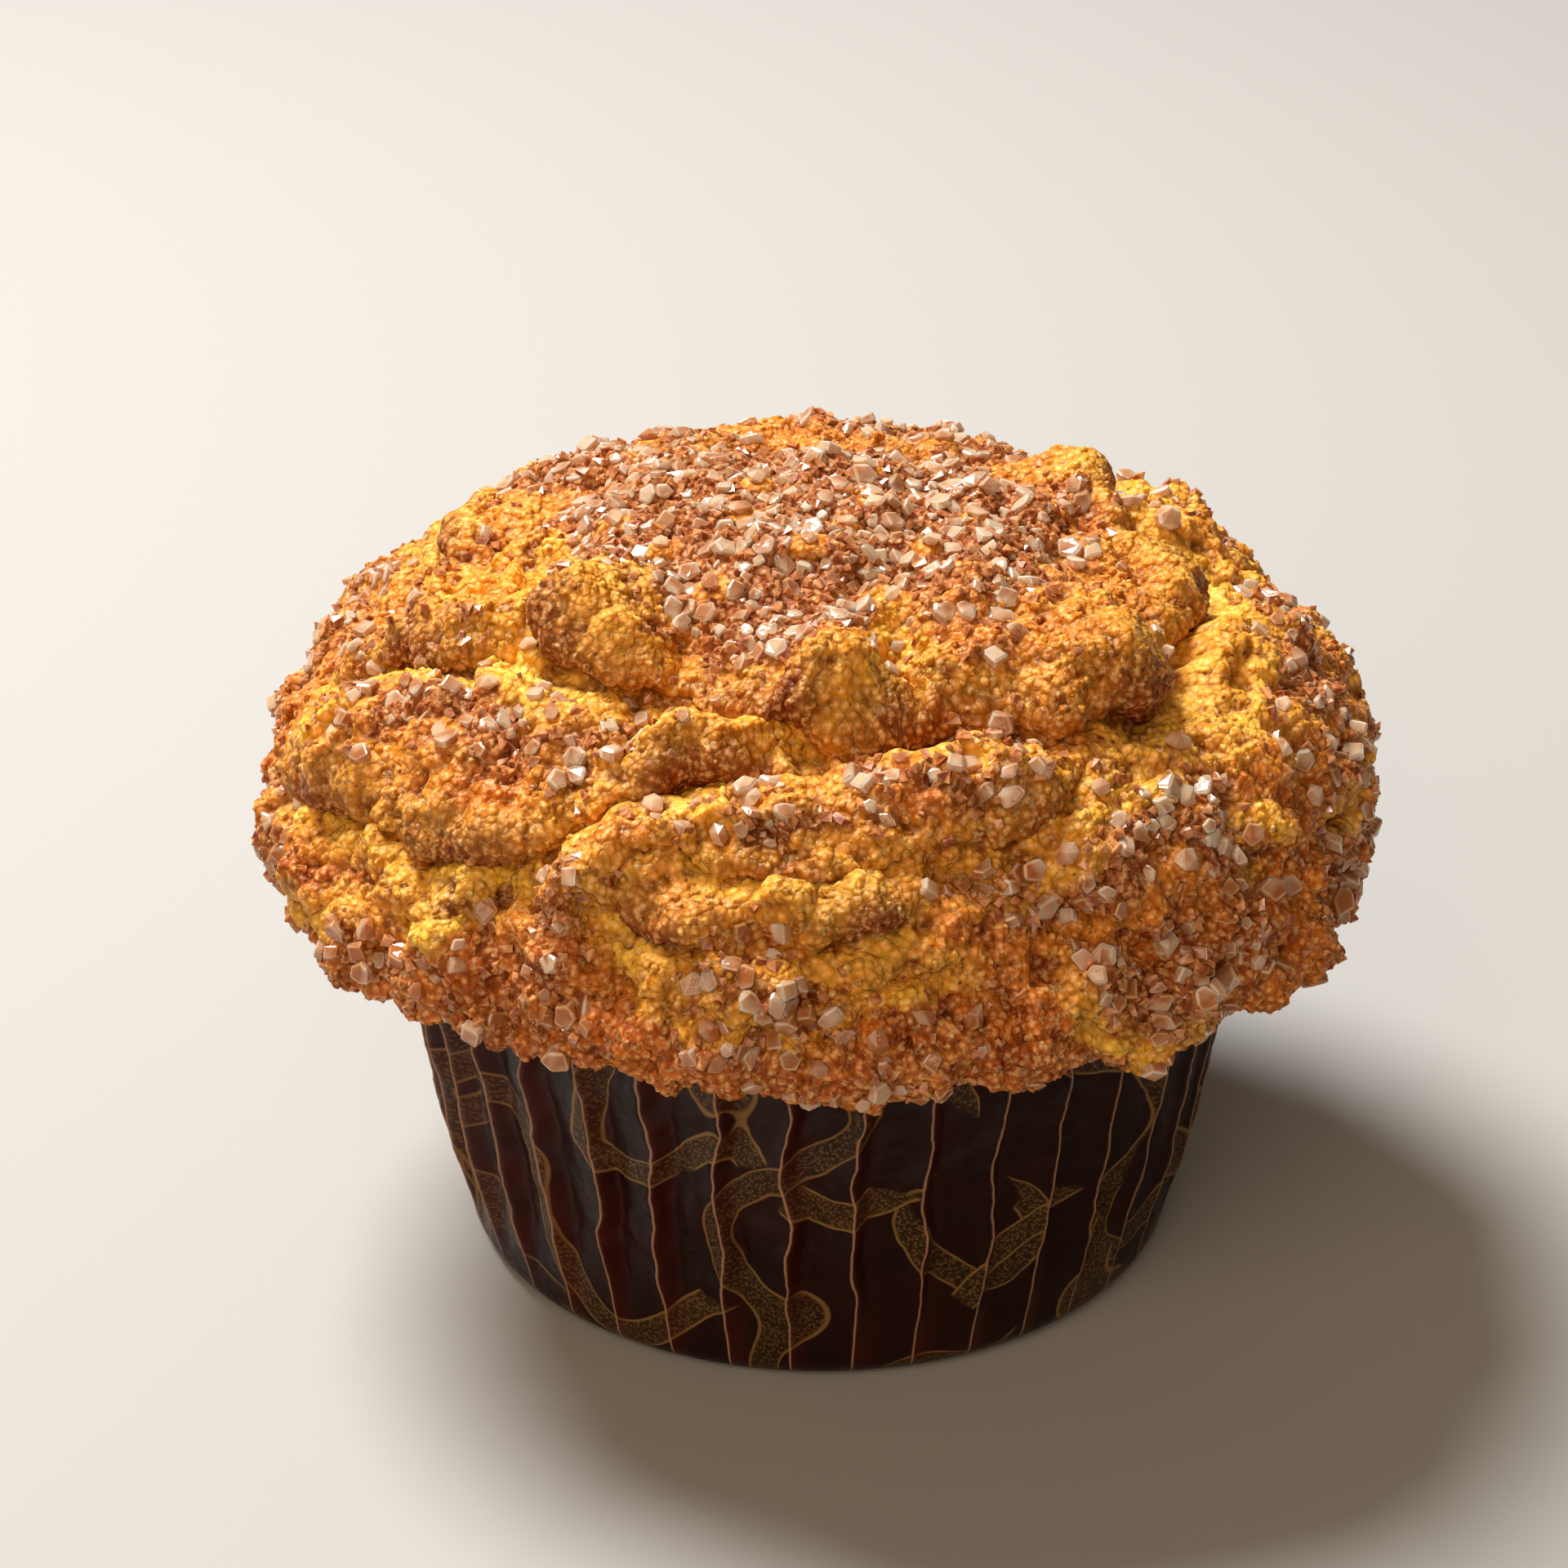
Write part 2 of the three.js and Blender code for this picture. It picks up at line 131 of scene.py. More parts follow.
# Where cinnamon sugar lies: middle, half length, half width, turn, and how thick it lies.
DRIFTS = [
    (-2, -2, 25, 21, 0, 1.0), (-5, -23, 7, 6, 0, 1.0), (13, -14, 9, 6, 0, 0.8), (6, -26, 3, 5, 0, 0.8),
    (-35, -20, 12, 7, -25, 0.9), (-23, -31, 9, 4, -15, 0.8), (-43, -12, 6, 3, -30, 0.5),
    (-13, -41, 6.5, 3.4, 5, 1.1), (-4, -43, 6, 3.2, 5, 1.1), (11, -38.5, 8, 5, 15, 1.3),
    (31, -36, 9, 5.5, 15, 1.1), (25, -42, 5, 5.5, 0, 1.0), (18, -47, 6, 3, 10, 1.0), (40, -46, 9, 7, 40, 0.6),
    (47, -10, 5, 11, 5, 0.8), (56, -26, 6, 12, 15, 0.7), (44, 2, 5, 7, 0, 0.6), (60, -8, 6, 14, 0, 0.6),
    (-47, -43, 13, 4, -42, 0.5), (-33, -53, 10, 4, -30, 0.55), (-8, -58, 7, 5, 0, 1.2),
    (-24, -47, 4.5, 4, 0, 1.3), (31, -53, 6, 4, 0, 1.0),
    (5, -63, 22, 4, 0, 0.4), (30, -58, 12, 5, 25, 0.45), (-60, -22, 5, 14, -15, 0.5),
    (33, 14, 7, 6, 0, 0.4), (-20, 22, 12, 8, 25, 0.9), (12, 30, 13, 8, -8, 0.9),
    (33, 43, 12, 6, -38, 0.8), (-36, 40, 12, 6, 48, 0.7), (-6, 55, 14, 6, 5, 0.7), (-46, 8, 8, 7, 0, 0.6),
    (57, 20, 6, 10, 15, 0.6), (0, 66, 40, 4, 0, 0.5), (-62, 12, 5, 14, 0, 0.5),
]


def crown_outline(way):
    """The smooth crown's radius and height on the way from its top, at 0, past its widest ring, at 1."""
    power = 2 / CROWN_SQUARENESS
    angle = (1 - np.minimum(way, 1)) * np.pi / 2
    turn = np.clip((way - 1) * 3, 0, 1) * np.pi / 2
    radius = CROWN_RADIUS * np.cos(angle) ** power - CROWN_UNDERCUT * (1 - np.cos(turn))
    height = CROWN_EDGE_HEIGHT + CROWN_RISE * np.sin(angle) ** power
    return radius, height - (CROWN_EDGE_HEIGHT - UNDERSIDE_HEIGHT) * np.sin(turn)


outline = np.stack(crown_outline(np.linspace(0, 4 / 3, SKIN_STEPS)), axis=1)
outline = np.concatenate([outline, STUMP])
skin = np.concatenate([[0], np.cumsum(np.hypot(*np.diff(outline, axis=0).T))])
CROWN_SKIN = skin[SKIN_STEPS - 1]
slope = np.gradient(outline, skin, axis=0)


def on_smooth_crown(x, y):
    """Points of the smooth outline under places on the unrolled skin, and the way out there."""
    reach, bearing = np.hypot(x, y), np.arctan2(y, x)
    radius, height = (np.interp(reach, skin, column) for column in outline.T)
    down, out = (np.interp(reach, skin, column) for column in (-slope[:, 1], slope[:, 0]))
    steep = np.hypot(down, out)
    round_about = np.stack([np.cos(bearing), np.sin(bearing)], axis=1)
    points = np.column_stack([radius[:, None] * round_about, height])
    outward = np.column_stack([(down / steep)[:, None] * round_about, out / steep])
    return points, outward


# Rings of points, closer together on the crown than inside the case.
CRUMB_STEP = 0.43
ring_reach = list(np.arange(CRUMB_STEP, CROWN_SKIN, CRUMB_STEP))
while ring_reach[-1] < skin[-2] - 4:
    ring_reach.append(ring_reach[-1] + min(3.5, 1.25 * (ring_reach[-1] - ring_reach[-2])))
ring_radius = np.interp(ring_reach, skin, outline[:, 0])
ring_step = np.gradient(ring_reach)
ring_count = np.maximum(6, np.round(2 * np.pi * ring_radius / ring_step)).astype(int)
places = [(0.0, 0.0)]
for ring, (reach, count) in enumerate(zip(ring_reach, ring_count)):
    bearing = (np.arange(count) + 0.5 * (ring % 2)) * 2 * np.pi / count
    places.extend(zip(reach * np.cos(bearing), reach * np.sin(bearing)))
first = np.concatenate([[1], 1 + np.cumsum(ring_count)])
bottom = len(places)
places = np.array(places)
faces = [(0, 1 + i, 1 + (i + 1) % ring_count[0]) for i in range(ring_count[0])]
for ring in range(len(ring_count) - 1):
    inner, outer = ring_count[ring], ring_count[ring + 1]
    inner_lag, outer_lag = 0.5 * (ring % 2), 0.5 * ((ring + 1) % 2)
    i = j = 0
    while i < inner or j < outer:
        a, b = first[ring] + i % inner, first[ring + 1] + j % outer
        if j >= outer or (i < inner and (i + 1 + inner_lag) / inner < (j + 1 + outer_lag) / outer):
            faces.append((a, b, first[ring] + (i + 1) % inner))
            i += 1
        else:
            faces.append((a, b, first[ring + 1] + (j + 1) % outer))
            j += 1
last = first[-2]
faces += [(last + i, bottom, last + (i + 1) % ring_count[-1]) for i in range(ring_count[-1])]

# How far the lumpy CAD crown stands out from its smooth outline, on a grid over the skin. A ray
# runs inwards through each place from outside the crust.
GRID_STEP = 1.5
GRID_HALF = 60  # steps from the middle of the grid to its side
RAY_START = 12
RAY_LENGTH = 20
LUMP_BLUR = [0.06, 0.24, 0.4, 0.24, 0.06]
cad_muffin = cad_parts["muffin"].data
cad_crust = BVHTree.FromPolygons([v.co / MM for v in cad_muffin.vertices],
                                 [p.vertices for p in cad_muffin.polygons])
ticks = np.arange(-GRID_HALF, GRID_HALF + 1) * GRID_STEP
grid_x, grid_y = (g.ravel() for g in np.meshgrid(ticks, ticks, indexing="ij"))
lift = []
for point, outward in zip(*on_smooth_crown(grid_x, grid_y)):
    hit = cad_crust.ray_cast(Vector(point + outward * RAY_START), Vector(-outward), RAY_LENGTH)
    lift.append(RAY_START - hit[3] if hit[0] else 0.0)
lift = np.array(lift) * (np.hypot(grid_x, grid_y) < CROWN_SKIN - 3)
lift = lift.reshape(len(ticks), len(ticks))
for _ in range(2):
    lift = np.apply_along_axis(np.convolve, 0, lift, LUMP_BLUR, "same")
    lift = np.apply_along_axis(np.convolve, 1, lift, LUMP_BLUR, "same")


def lump_height(x, y):
    """The CAD crown's lift over places on the skin."""
    gx = np.clip(x / GRID_STEP + GRID_HALF, 0, 2 * GRID_HALF - 1.001)
    gy = np.clip(y / GRID_STEP + GRID_HALF, 0, 2 * GRID_HALF - 1.001)
    i, j = gx.astype(int), gy.astype(int)
    fx, fy = gx - i, gy - j
    near = lift[i, j] * (1 - fx) + lift[i + 1, j] * fx
    far = lift[i, j + 1] * (1 - fx) + lift[i + 1, j + 1] * fx
    return near * (1 - fy) + far * fy


def smooth(low, high, value):
    """Rises from 0 at low to 1 at high, with no corner at either."""
    share = np.clip((value - low) / (high - low), 0, 1)
    return share * share * (3 - 2 * share)


def perlin(points, size, seed):
    """Smooth noise between -1 and 1, with bumps of the size."""
    return np.array([noise.noise(Vector(p)) for p in points / size + seed])


def pebbles(points, size, seed):
    """Packed domes: 1 on top of each, falling to about -1 in the seams between them."""
    return np.array([1 - 3.5 * noise.voronoi(Vector(p))[0][0] ** 2 for p in points / size + seed])


def curve_through(route, step=0.8):
    """Points along a smooth curve through the route's points."""
    p = np.array(route, float)
    p = np.vstack([2 * p[0] - p[1], p, 2 * p[-1] - p[-2]])
    out = []
    for a, b, c, d in zip(p, p[1:], p[2:], p[3:]):
        t = np.linspace(0, 1, max(2, int(np.hypot(*(c - b)) / step)), endpoint=False)[:, None]
        out.append(0.5 * (2 * b + (c - a) * t + (2 * a - 5 * b + 4 * c - d) * t**2
                          + (3 * b - a - 3 * c + d) * t**3))
    return np.vstack(out + [p[-2:-1]])


# The cracks. Each sinks to its depth along its route, between lips that swell and lean over it.
crown_points, outward = on_smooth_crown(places[:, 0], places[:, 1])
reach = np.hypot(*places.T)
on_crown = 1 - smooth(CROWN_SKIN - 8, CROWN_SKIN - 1, reach)
WANDER = 2.1  # how far a crack strays from its route
WANDER_BENDS = (7, 2.6)  # sizes of the bends that it makes
LIP_SPREAD = 9  # how far from the crack its swollen lip dies away
CRACK_TAPER = 5  # length over which a crack's ends run out
CRACK_MARGIN = 12
CRACK_SHADE_REACH = {"left": 4.2, "right": 1.3}  # how far the painted shade, over the crust's own deeper brown, reaches beside a crack
FULL_SHADE_DEPTH = 2.5  # a crack this deep gets the full painted shade
wide_bend, tight_bend = WANDER_BENDS
wander = np.column_stack([
    perlin(crown_points, wide_bend, 3.1) + 0.5 * perlin(crown_points, tight_bend, 8.4),
    perlin(crown_points, wide_bend, 5.7) + 0.5 * perlin(crown_points, tight_bend, 1.9)])
torn_places = places + wander * WANDER

height = lump_height(*places.T)
lean = np.zeros_like(places)
torn = np.zeros(len(places))
crevice_shade_and_brown = np.zeros(len(places))
for depth, left_lift, left_steep, right_lift, right_steep, width, route in CRACKS:
    line = curve_through(route)
    along = np.diff(line, axis=0)
    length = np.hypot(*along.T)
    way = np.concatenate([[0], np.cumsum(length)])
    beyond = (torn_places > line.min(0) - CRACK_MARGIN) & (torn_places < line.max(0) + CRACK_MARGIN)
    near = np.flatnonzero(beyond.all(1))
    offset = torn_places[near, None] - line[None, :-1]
    share = np.clip((offset * along).sum(2) / length**2, 0, 1)
    gap = offset - share[..., None] * along
    distance = np.hypot(gap[..., 0], gap[..., 1])
    closest = distance.argmin(1)
    row = np.arange(len(near))
    gap, distance, share = gap[row, closest], distance[row, closest], share[row, closest]
    place_along = way[closest] + share * length[closest]
    to_end = way[-1] - place_along
    taper = np.sqrt(smooth(0, CRACK_TAPER, place_along) * smooth(0, CRACK_TAPER, to_end))
    taper *= 0.8 + 0.35 * np.sin(place_along / 3.7 + depth * 5)
    side = along[closest, 0] * gap[:, 1] - along[closest, 1] * gap[:, 0]
    steep = np.where(side > 0, left_steep, right_steep)
    lip = np.where(side > 0, left_lift, right_lift) * taper
    depth = depth * taper
    shoulder = np.clip(distance / steep, 0, 1)
    rise = np.sqrt(1 - (1 - shoulder) ** 2)
    decay = 1 - smooth(0, LIP_SPREAD, distance - steep)
    height[near] += -depth + (depth + lip * decay) * rise
    toward = -gap / np.maximum(distance, 0.05)[:, None]
    overhang = (lip + depth * 0.5) * rise * (1 - shoulder) * (steep < 3)
    lean[near] += toward * overhang[:, None] * 0.9
    wide = distance / (width + 0.5 * steep)
    torn[near] = np.maximum(torn[near], taper * (1 - smooth(0.6, 1.5, wide)))
    # Painted shade in and beside each crack, darker the deeper the crack, over the crust's own deeper brown
    # on the lips' walls.
    deep = taper * np.minimum(depth, FULL_SHADE_DEPTH) / FULL_SHADE_DEPTH
    shade_reach = np.where(side > 0, CRACK_SHADE_REACH["left"], CRACK_SHADE_REACH["right"])
    crevice_shade_and_brown[near] = np.maximum(crevice_shade_and_brown[near], 0.9 * deep * (1 - smooth(0.2, shade_reach, distance)))


def oval_distance(places, x, y, half_length, half_width, turn):
    """How far places are from an oval's middle, 1 being its edge."""
    offset = places - (x, y)
    c, s = np.cos(np.radians(turn)), np.sin(np.radians(turn))
    return np.hypot((offset[:, 0] * c + offset[:, 1] * s) / half_length,
                    (offset[:, 1] * c - offset[:, 0] * s) / half_width)


for *oval, swell in SWELLS:
    d = oval_distance(torn_places, *oval)
    height += swell * (1 - smooth(0.25, 1.25, d))
    if swell < -1.5:
        torn = np.maximum(torn, 1 - smooth(0.8, 1.3, d))

for oval in SOFT_PLACES:
    torn = np.maximum(torn, 0.8 * (1 - smooth(0.5, 1.4, oval_distance(torn_places, *oval))))

sugar = np.zeros(len(places))
for *oval, thickness in DRIFTS:
    d = oval_distance(places + 3.5 * wander, *oval)
    sugar = np.maximum(sugar, thickness * (1 - smooth(0.75, 1.2, d)))
sugar = np.maximum(sugar, 0.04 + 0.3 * smooth(0.1, 0.5, perlin(crown_points, 8, 12.2)))
sugar *= on_crown * (1 - 0.85 * torn)

# Uneven rises and knobs all over, both rougher on the rim, where the crust set first.
RIM_START = 46
RIM_END = 60
KNOB = 6.5
SMALL_KNOB = 4.1
rim = smooth(RIM_START, RIM_END, reach + 3 * perlin(crown_points, 9, 2.2))
height += 0.7 * perlin(crown_points, 9, 4.4) + 0.8 * perlin(crown_points, 4, 6.1)
height += rim * 0.8 * perlin(crown_points, 3.2, 7.7)
knobbly = crown_points + 1.5 * np.column_stack([wander, wander[:, 0]])
height += (0.35 + 0.45 * rim) * pebbles(knobbly, KNOB, 6.6)
height += 0.6 * pebbles(knobbly, SMALL_KNOB, 3.6)
height *= on_crown

# Leaning lips move along the skin, towards the crack.
bearing = np.arctan2(places[:, 1], places[:, 0])
out_along = np.column_stack([np.cos(bearing), np.sin(bearing)])
round_along = np.column_stack([-np.sin(bearing), np.cos(bearing)])
down_skin = np.column_stack([outward[:, 2:3] * out_along, -np.hypot(outward[:, 0], outward[:, 1])])
lean *= on_crown[:, None]
vertices = crown_points + outward * height[:, None]
vertices += down_skin * (lean * out_along).sum(1)[:, None]
vertices[:, :2] += round_along * (lean * round_along).sum(1)[:, None]
vertices = np.vstack([vertices, [0, 0, STUMP[-1][1]]])


def pad(values):
    """Adds the value of the last vertex, in the middle of the base."""
    return np.append(values, 0)


faces = np.array(faces)
edges = np.vstack([faces[:, [0, 1]], faces[:, [1, 2]], faces[:, [2, 0]]])
valence = np.bincount(edges.ravel(), minlength=len(vertices))


def normals_of(vertices):
    """The way out at each vertex, from the faces round it."""
    corner = vertices[faces]
    face_normal = np.cross(corner[:, 1] - corner[:, 0], corner[:, 2] - corner[:, 0])
    total = np.stack([np.bincount(faces.ravel(), np.repeat(face_normal[:, k], 3), len(vertices))
                      for k in range(3)], axis=1)
    return total / np.linalg.norm(total, axis=1)[:, None]


def neighbour_mean(values):
    """For each vertex, the mean over the vertices that share an edge with it."""
    total = np.stack([np.bincount(edges[:, 0], values[edges[:, 1], k], len(values))
                      + np.bincount(edges[:, 1], values[edges[:, 0], k], len(values))
                      for k in range(values.shape[1])], axis=1)
    return total / valence[:, None]


# Vertices that the lips crowded together or drew apart slide along the skin to an even spacing.
SLIDES = 6
movable = pad(on_crown)[:, None]
for _ in range(SLIDES):
    pull = neighbour_mean(vertices) - vertices
    normal = normals_of(vertices)
    pull -= (pull * normal).sum(1)[:, None] * normal
    vertices += 0.6 * pull * movable

# The crust meets the underside of each CAD crystal, which is stuck a little way into it.
BITE = 0.2
HOLD_NEAR = 0.9  # from here out to HOLD_FAR the crust falls back to its own shape
HOLD_FAR = 2.4
HOLD_HEIGHT = 7
cad_crystals = [node for name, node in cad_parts.items() if name.startswith("sugar_crystal")]
held = np.zeros(len(vertices))
for node in cad_crystals:
    chip = np.array([v.co for v in node.data.vertices]) / MM
    middle = chip.mean(0)
    closest = np.hypot(outline[:, 0] - np.hypot(*middle[:2]), outline[:, 1] - middle[2]).argmin()
    bearing = np.arctan2(middle[1], middle[0])
    chip_place = skin[closest] * np.array([[np.cos(bearing)], [np.sin(bearing)]])
    up = on_smooth_crown(*chip_place)[1][0]
    foot = ((chip - middle) @ up).min()
    offset = vertices - middle
    above = offset @ up
    beside = np.linalg.norm(offset - above[:, None] * up, axis=1)
    level = np.abs(above) < HOLD_HEIGHT
    hold = (1 - smooth(HOLD_NEAR, HOLD_FAR, beside)) * level
    vertices += up * ((foot + BITE - above) * hold)[:, None]
    held = np.maximum(held, hold)
    sugar *= smooth(1.3, 2.2, np.where(level, beside, 10))[:-1]

# The crust's fine relief: lumps, the granules that make them up, and finer ones on those.
LUMP = 3.4
GRAIN = 1.7
FINE_GRAIN = 1.15
RUFFLE = 1.9  # size of the noise that keeps their seams from running straight
normal = normals_of(vertices)
ruffle = np.column_stack([perlin(vertices, RUFFLE, seed) for seed in (2.5, 5.5, 9.5)])
ruffled = vertices + 0.55 * ruffle
lump = pebbles(ruffled, LUMP, 17.0)
grain = pebbles(ruffled, GRAIN, 11.0)
fine = pebbles(vertices, FINE_GRAIN, 4.0)
coarse = pad(np.maximum(rim, 0.55))
smoother = 1 - 0.45 * pad(torn)
relief = 0.42 * lump * coarse + (0.33 * grain + 0.12 * fine) * smoother
vertices += normal * (relief * (1 - held))[:, None] * movable

# What the material and the sprinkled pieces need to know about each place on the crust.
mesh = bpy.data.meshes.new("muffin_crumb")
mesh.from_pydata((vertices * MM).tolist(), [], faces.tolist())
mesh.shade_smooth()
crumbly = smooth(-0.35, 0.35, perlin(vertices, 5, 21.0) + 0.5 * pad(rim) - 0.1)
crumbly *= (1 - held) * pad(on_crown)
# How far down between the granules each place lies, which sets the painted shade in those hollows.
hollow_shade = np.clip(0.35 - 0.6 * (grain * 0.55 + fine * 0.3 + lump * coarse * 0.3), 0, 1)
baked = {"torn": pad(torn), "rim": pad(rim), "crevice_shade_and_brown": pad(crevice_shade_and_brown), "hollow_shade": hollow_shade,
         "sugar": pad(sugar), "crumbly": crumbly}
for name, values in baked.items():
    mesh.attributes.new(name, "FLOAT", "POINT").data.foreach_set("value", values)
muffin = bpy.data.objects.new("muffin_crumb", mesh)
bpy.context.scene.collection.objects.link(muffin)


def linear(hex_colour):
    """A hex colour as screens show it, turned to the linear values that a shader works in."""
    srgb = [int(hex_colour[i:i + 2], 16) / 255 for i in (1, 3, 5)]
    return [c / 12.92 if c <= 0.04045 else ((c + 0.055) / 1.055) ** 2.4 for c in srgb] + [1]


def add(tree, kind, inputs=None, output=0, **settings):
    """Adds a node with its settings, its input values or links, and gives one of its outputs."""
    made = tree.nodes.new(kind)
    for name, value in settings.items():
        setattr(made, name, value)
    for name, value in (inputs or {}).items():
        if isinstance(value, bpy.types.NodeSocket):
            tree.links.new(value, made.inputs[name])
        else:
            made.inputs[name].default_value = value
    return made.outputs[output]


# Baked batter: an egg-yellow crumb under a crust that the oven turned golden, and redder brown on the
# rim and under the cinnamon. Painted shade darkens the cracks, over the crust's own deeper brown there,
# and the hollows between the granules, and the top of each granule has a painted highlight. It is matt
# and granular, with a little butter's shine, and some light sinks in and comes out warmer. The pattern
# sizes are in millimetres.
BROWNING = 8
BLOTCH = 2.5
SPECKLE = 0.6
PORE_SPACING = 1.6
GRIT = 0.85
DUST = 0.5
crumb_material = bpy.data.materials.new("baked_batter")
crumb_material.use_nodes = True
tree = crumb_material.node_tree
shader = tree.nodes["Principled BSDF"]
place = add(tree, "ShaderNodeTexCoord", output="Object")
torn_here, rim_here, crevice_shade_and_brown_here, hollow_shade_here, sugar_here = (
    add(tree, "ShaderNodeAttribute", output="Fac", attribute_name=name)
    for name in ("torn", "rim", "crevice_shade_and_brown", "hollow_shade", "sugar"))
patches = add(tree, "ShaderNodeTexNoise", {"Vector": place, "Scale": 1 / (BROWNING * MM), "Detail": 3.0},
              "Fac")
blotches = add(tree, "ShaderNodeTexNoise", {"Vector": place, "Scale": 1 / (BLOTCH * MM), "Detail": 4.0},
               "Fac")
speckle = add(tree, "ShaderNodeTexNoise", {"Vector": place, "Scale": 1 / (SPECKLE * MM), "Detail": 2.0},
              "Fac")
mixed = add(tree, "ShaderNodeMapRange", {0: patches, 1: 0.35, 2: 0.65, 3: 0.0, 4: 1.0})
blotched = add(tree, "ShaderNodeMapRange", {0: blotches, 1: 0.35, 2: 0.65, 3: 0.0, 4: 1.0})
crust = add(tree, "ShaderNodeMix", {0: mixed, 6: linear("#ee9a2a"), 7: linear("#ca6a0c")}, 2,
            data_type="RGBA")
toasted = add(tree, "ShaderNodeMix", {0: blotched, 6: linear("#dc7620"), 7: linear("#a84404")}, 2,
              data_type="RGBA")
toast = add(tree, "ShaderNodeMath", {0: rim_here, 1: 0.75}, operation="MULTIPLY")
crust = add(tree, "ShaderNodeMix", {0: toast, 6: crust, 7: toasted}, 2, data_type="RGBA")
spice = add(tree, "ShaderNodeMix", {0: blotched, 6: linear("#b8642a"), 7: linear("#7c320a")}, 2,
            data_type="RGBA")
crust = add(tree, "ShaderNodeMix", {0: sugar_here, 6: crust, 7: spice}, 2, data_type="RGBA")
yellow = add(tree, "ShaderNodeMix", {0: mixed, 6: linear("#ffbe3e"), 7: linear("#f2a026")}, 2,
             data_type="RGBA")
colour = add(tree, "ShaderNodeMix", {0: torn_here, 6: crust, 7: yellow}, 2, data_type="RGBA")
# Painted shade in the hollows between the granules.
painted_hollow_shade = add(tree, "ShaderNodeMapRange", {0: hollow_shade_here, 1: 0.4, 2: 1.0, 3: 0.0, 4: 0.85})
colour = add(tree, "ShaderNodeMix", {0: painted_hollow_shade, 6: colour, 7: linear("#7e2a02")}, 2, data_type="RGBA")
# Painted shade in and beside the cracks, over the crust's own deeper brown there.
colour = add(tree, "ShaderNodeMix", {0: crevice_shade_and_brown_here, 6: colour, 7: linear("#8e3c06")}, 2, data_type="RGBA")
pores = add(tree, "ShaderNodeTexVoronoi", {"Vector": place, "Scale": 1 / (PORE_SPACING * MM)}, "Distance")
pore = add(tree, "ShaderNodeMapRange", {0: pores, 1: 0.08, 2: 0.16, 3: 0.75, 4: 0.0})
colour = add(tree, "ShaderNodeMix", {0: pore, 6: colour, 7: linear("#5a2204")}, 2, data_type="RGBA")
grit = add(tree, "ShaderNodeTexVoronoi", {"Vector": place, "Scale": 1 / (GRIT * MM)}, "Distance")
# Pale dry speckles, and a painted highlight on the top of each granule.
dry_and_highlit = add(tree, "ShaderNodeMapRange", {0: speckle, 1: 0.54, 2: 0.68, 3: 0.0, 4: 0.5})
tip_highlight = add(tree, "ShaderNodeMapRange", {0: grit, 1: 0.05, 2: 0.42, 3: 0.42, 4: 0.0})
dry_and_highlit = add(tree, "ShaderNodeMath", {0: dry_and_highlit, 1: tip_highlight}, operation="MAXIMUM")
colour = add(tree, "ShaderNodeMix", {0: dry_and_highlit, 6: colour, 7: linear("#f8d08c")}, 2, data_type="RGBA")
# Painted light and shade on each granule: lighter at its top, darker towards its seams.
light = add(tree, "ShaderNodeMapRange", {0: grit, 1: 0.1, 2: 0.75, 3: 1.15, 4: 0.72})
colour = add(tree, "ShaderNodeVectorMath", {0: colour, "Scale": light}, operation="SCALE")
tree.links.new(colour, shader.inputs["Base Color"])
seams = add(tree, "ShaderNodeMath", {0: grit, 1: grit}, operation="MULTIPLY")
dust = add(tree, "ShaderNodeTexVoronoi", {"Vector": place, "Scale": 1 / (DUST * MM)}, "Distance")
dust = add(tree, "ShaderNodeMath", {0: dust, 1: 0.35, 2: seams}, operation="MULTIPLY_ADD")
surface = add(tree, "ShaderNodeMath", {0: 1.0, 1: dust}, operation="SUBTRACT")
bump = add(tree, "ShaderNodeBump", {"Height": surface, "Distance": 0.6 * MM, "Strength": 0.8})
tree.links.new(bump, shader.inputs["Normal"])
shine = add(tree, "ShaderNodeMapRange", {0: blotches, 1: 0.3, 2: 0.7, 3: 0.34, 4: 0.6})
tree.links.new(shine, shader.inputs["Roughness"])
shader.inputs["Specular IOR Level"].default_value = 0.22
shader.inputs["Subsurface Weight"].default_value = 0.3
shader.inputs["Subsurface Radius"].default_value = (1.0, 0.48, 0.18)
shader.inputs["Subsurface Scale"].default_value = 2.5 * MM
mesh.materials.append(crumb_material)
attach(muffin, "root")
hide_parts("muffin")

# ---- Sugar ----
# Coarse sugar crystals and finer sugar mixed with ground cinnamon, strewn on the raw batter. They
# baked on where they fell. The largest crystals are the CAD ones, and the rest are laid among them.

# Coarse sugar: cloudy crystals with worn edges, lightened by a painted highlight, and a glassy face.
# Some of them are tan, more of them the lower they lie on the crown.
CLOUD = 2.4
FROST = 0.6
sugar_material = bpy.data.materials.new("coarse_sugar")
sugar_material.use_nodes = True
tree = sugar_material.node_tree
shader = tree.nodes["Principled BSDF"]
place = add(tree, "ShaderNodeTexCoord", output="Object")
up = add(tree, "ShaderNodeSeparateXYZ", {0: place}, "Z")
# Crystals are more tan the lower they lie, with cloudy patches of more and less.
tan_share = add(tree, "ShaderNodeMapRange", {0: up, 1: 46 * MM, 2: 66 * MM, 3: 0.85, 4: 0.35})
cloud = add(tree, "ShaderNodeTexNoise", {"Vector": place, "Scale": 1 / (CLOUD * MM), "Detail": 1.0}, "Fac")
cloud = add(tree, "ShaderNodeMapRange", {0: cloud, 1: 0.35, 2: 0.65, 3: -0.5, 4: 0.5})
tan_share = add(tree, "ShaderNodeMath", {0: tan_share, 1: cloud}, operation="ADD", use_clamp=True)
body = add(tree, "ShaderNodeMix", {0: tan_share, 6: linear("#f4d2ae"), 7: linear("#c0763c")}, 2,
           data_type="RGBA")
edge = add(tree, "ShaderNodeMix", {0: tan_share, 6: linear("#fff6ea"), 7: linear("#eab884")}, 2,
           data_type="RGBA")
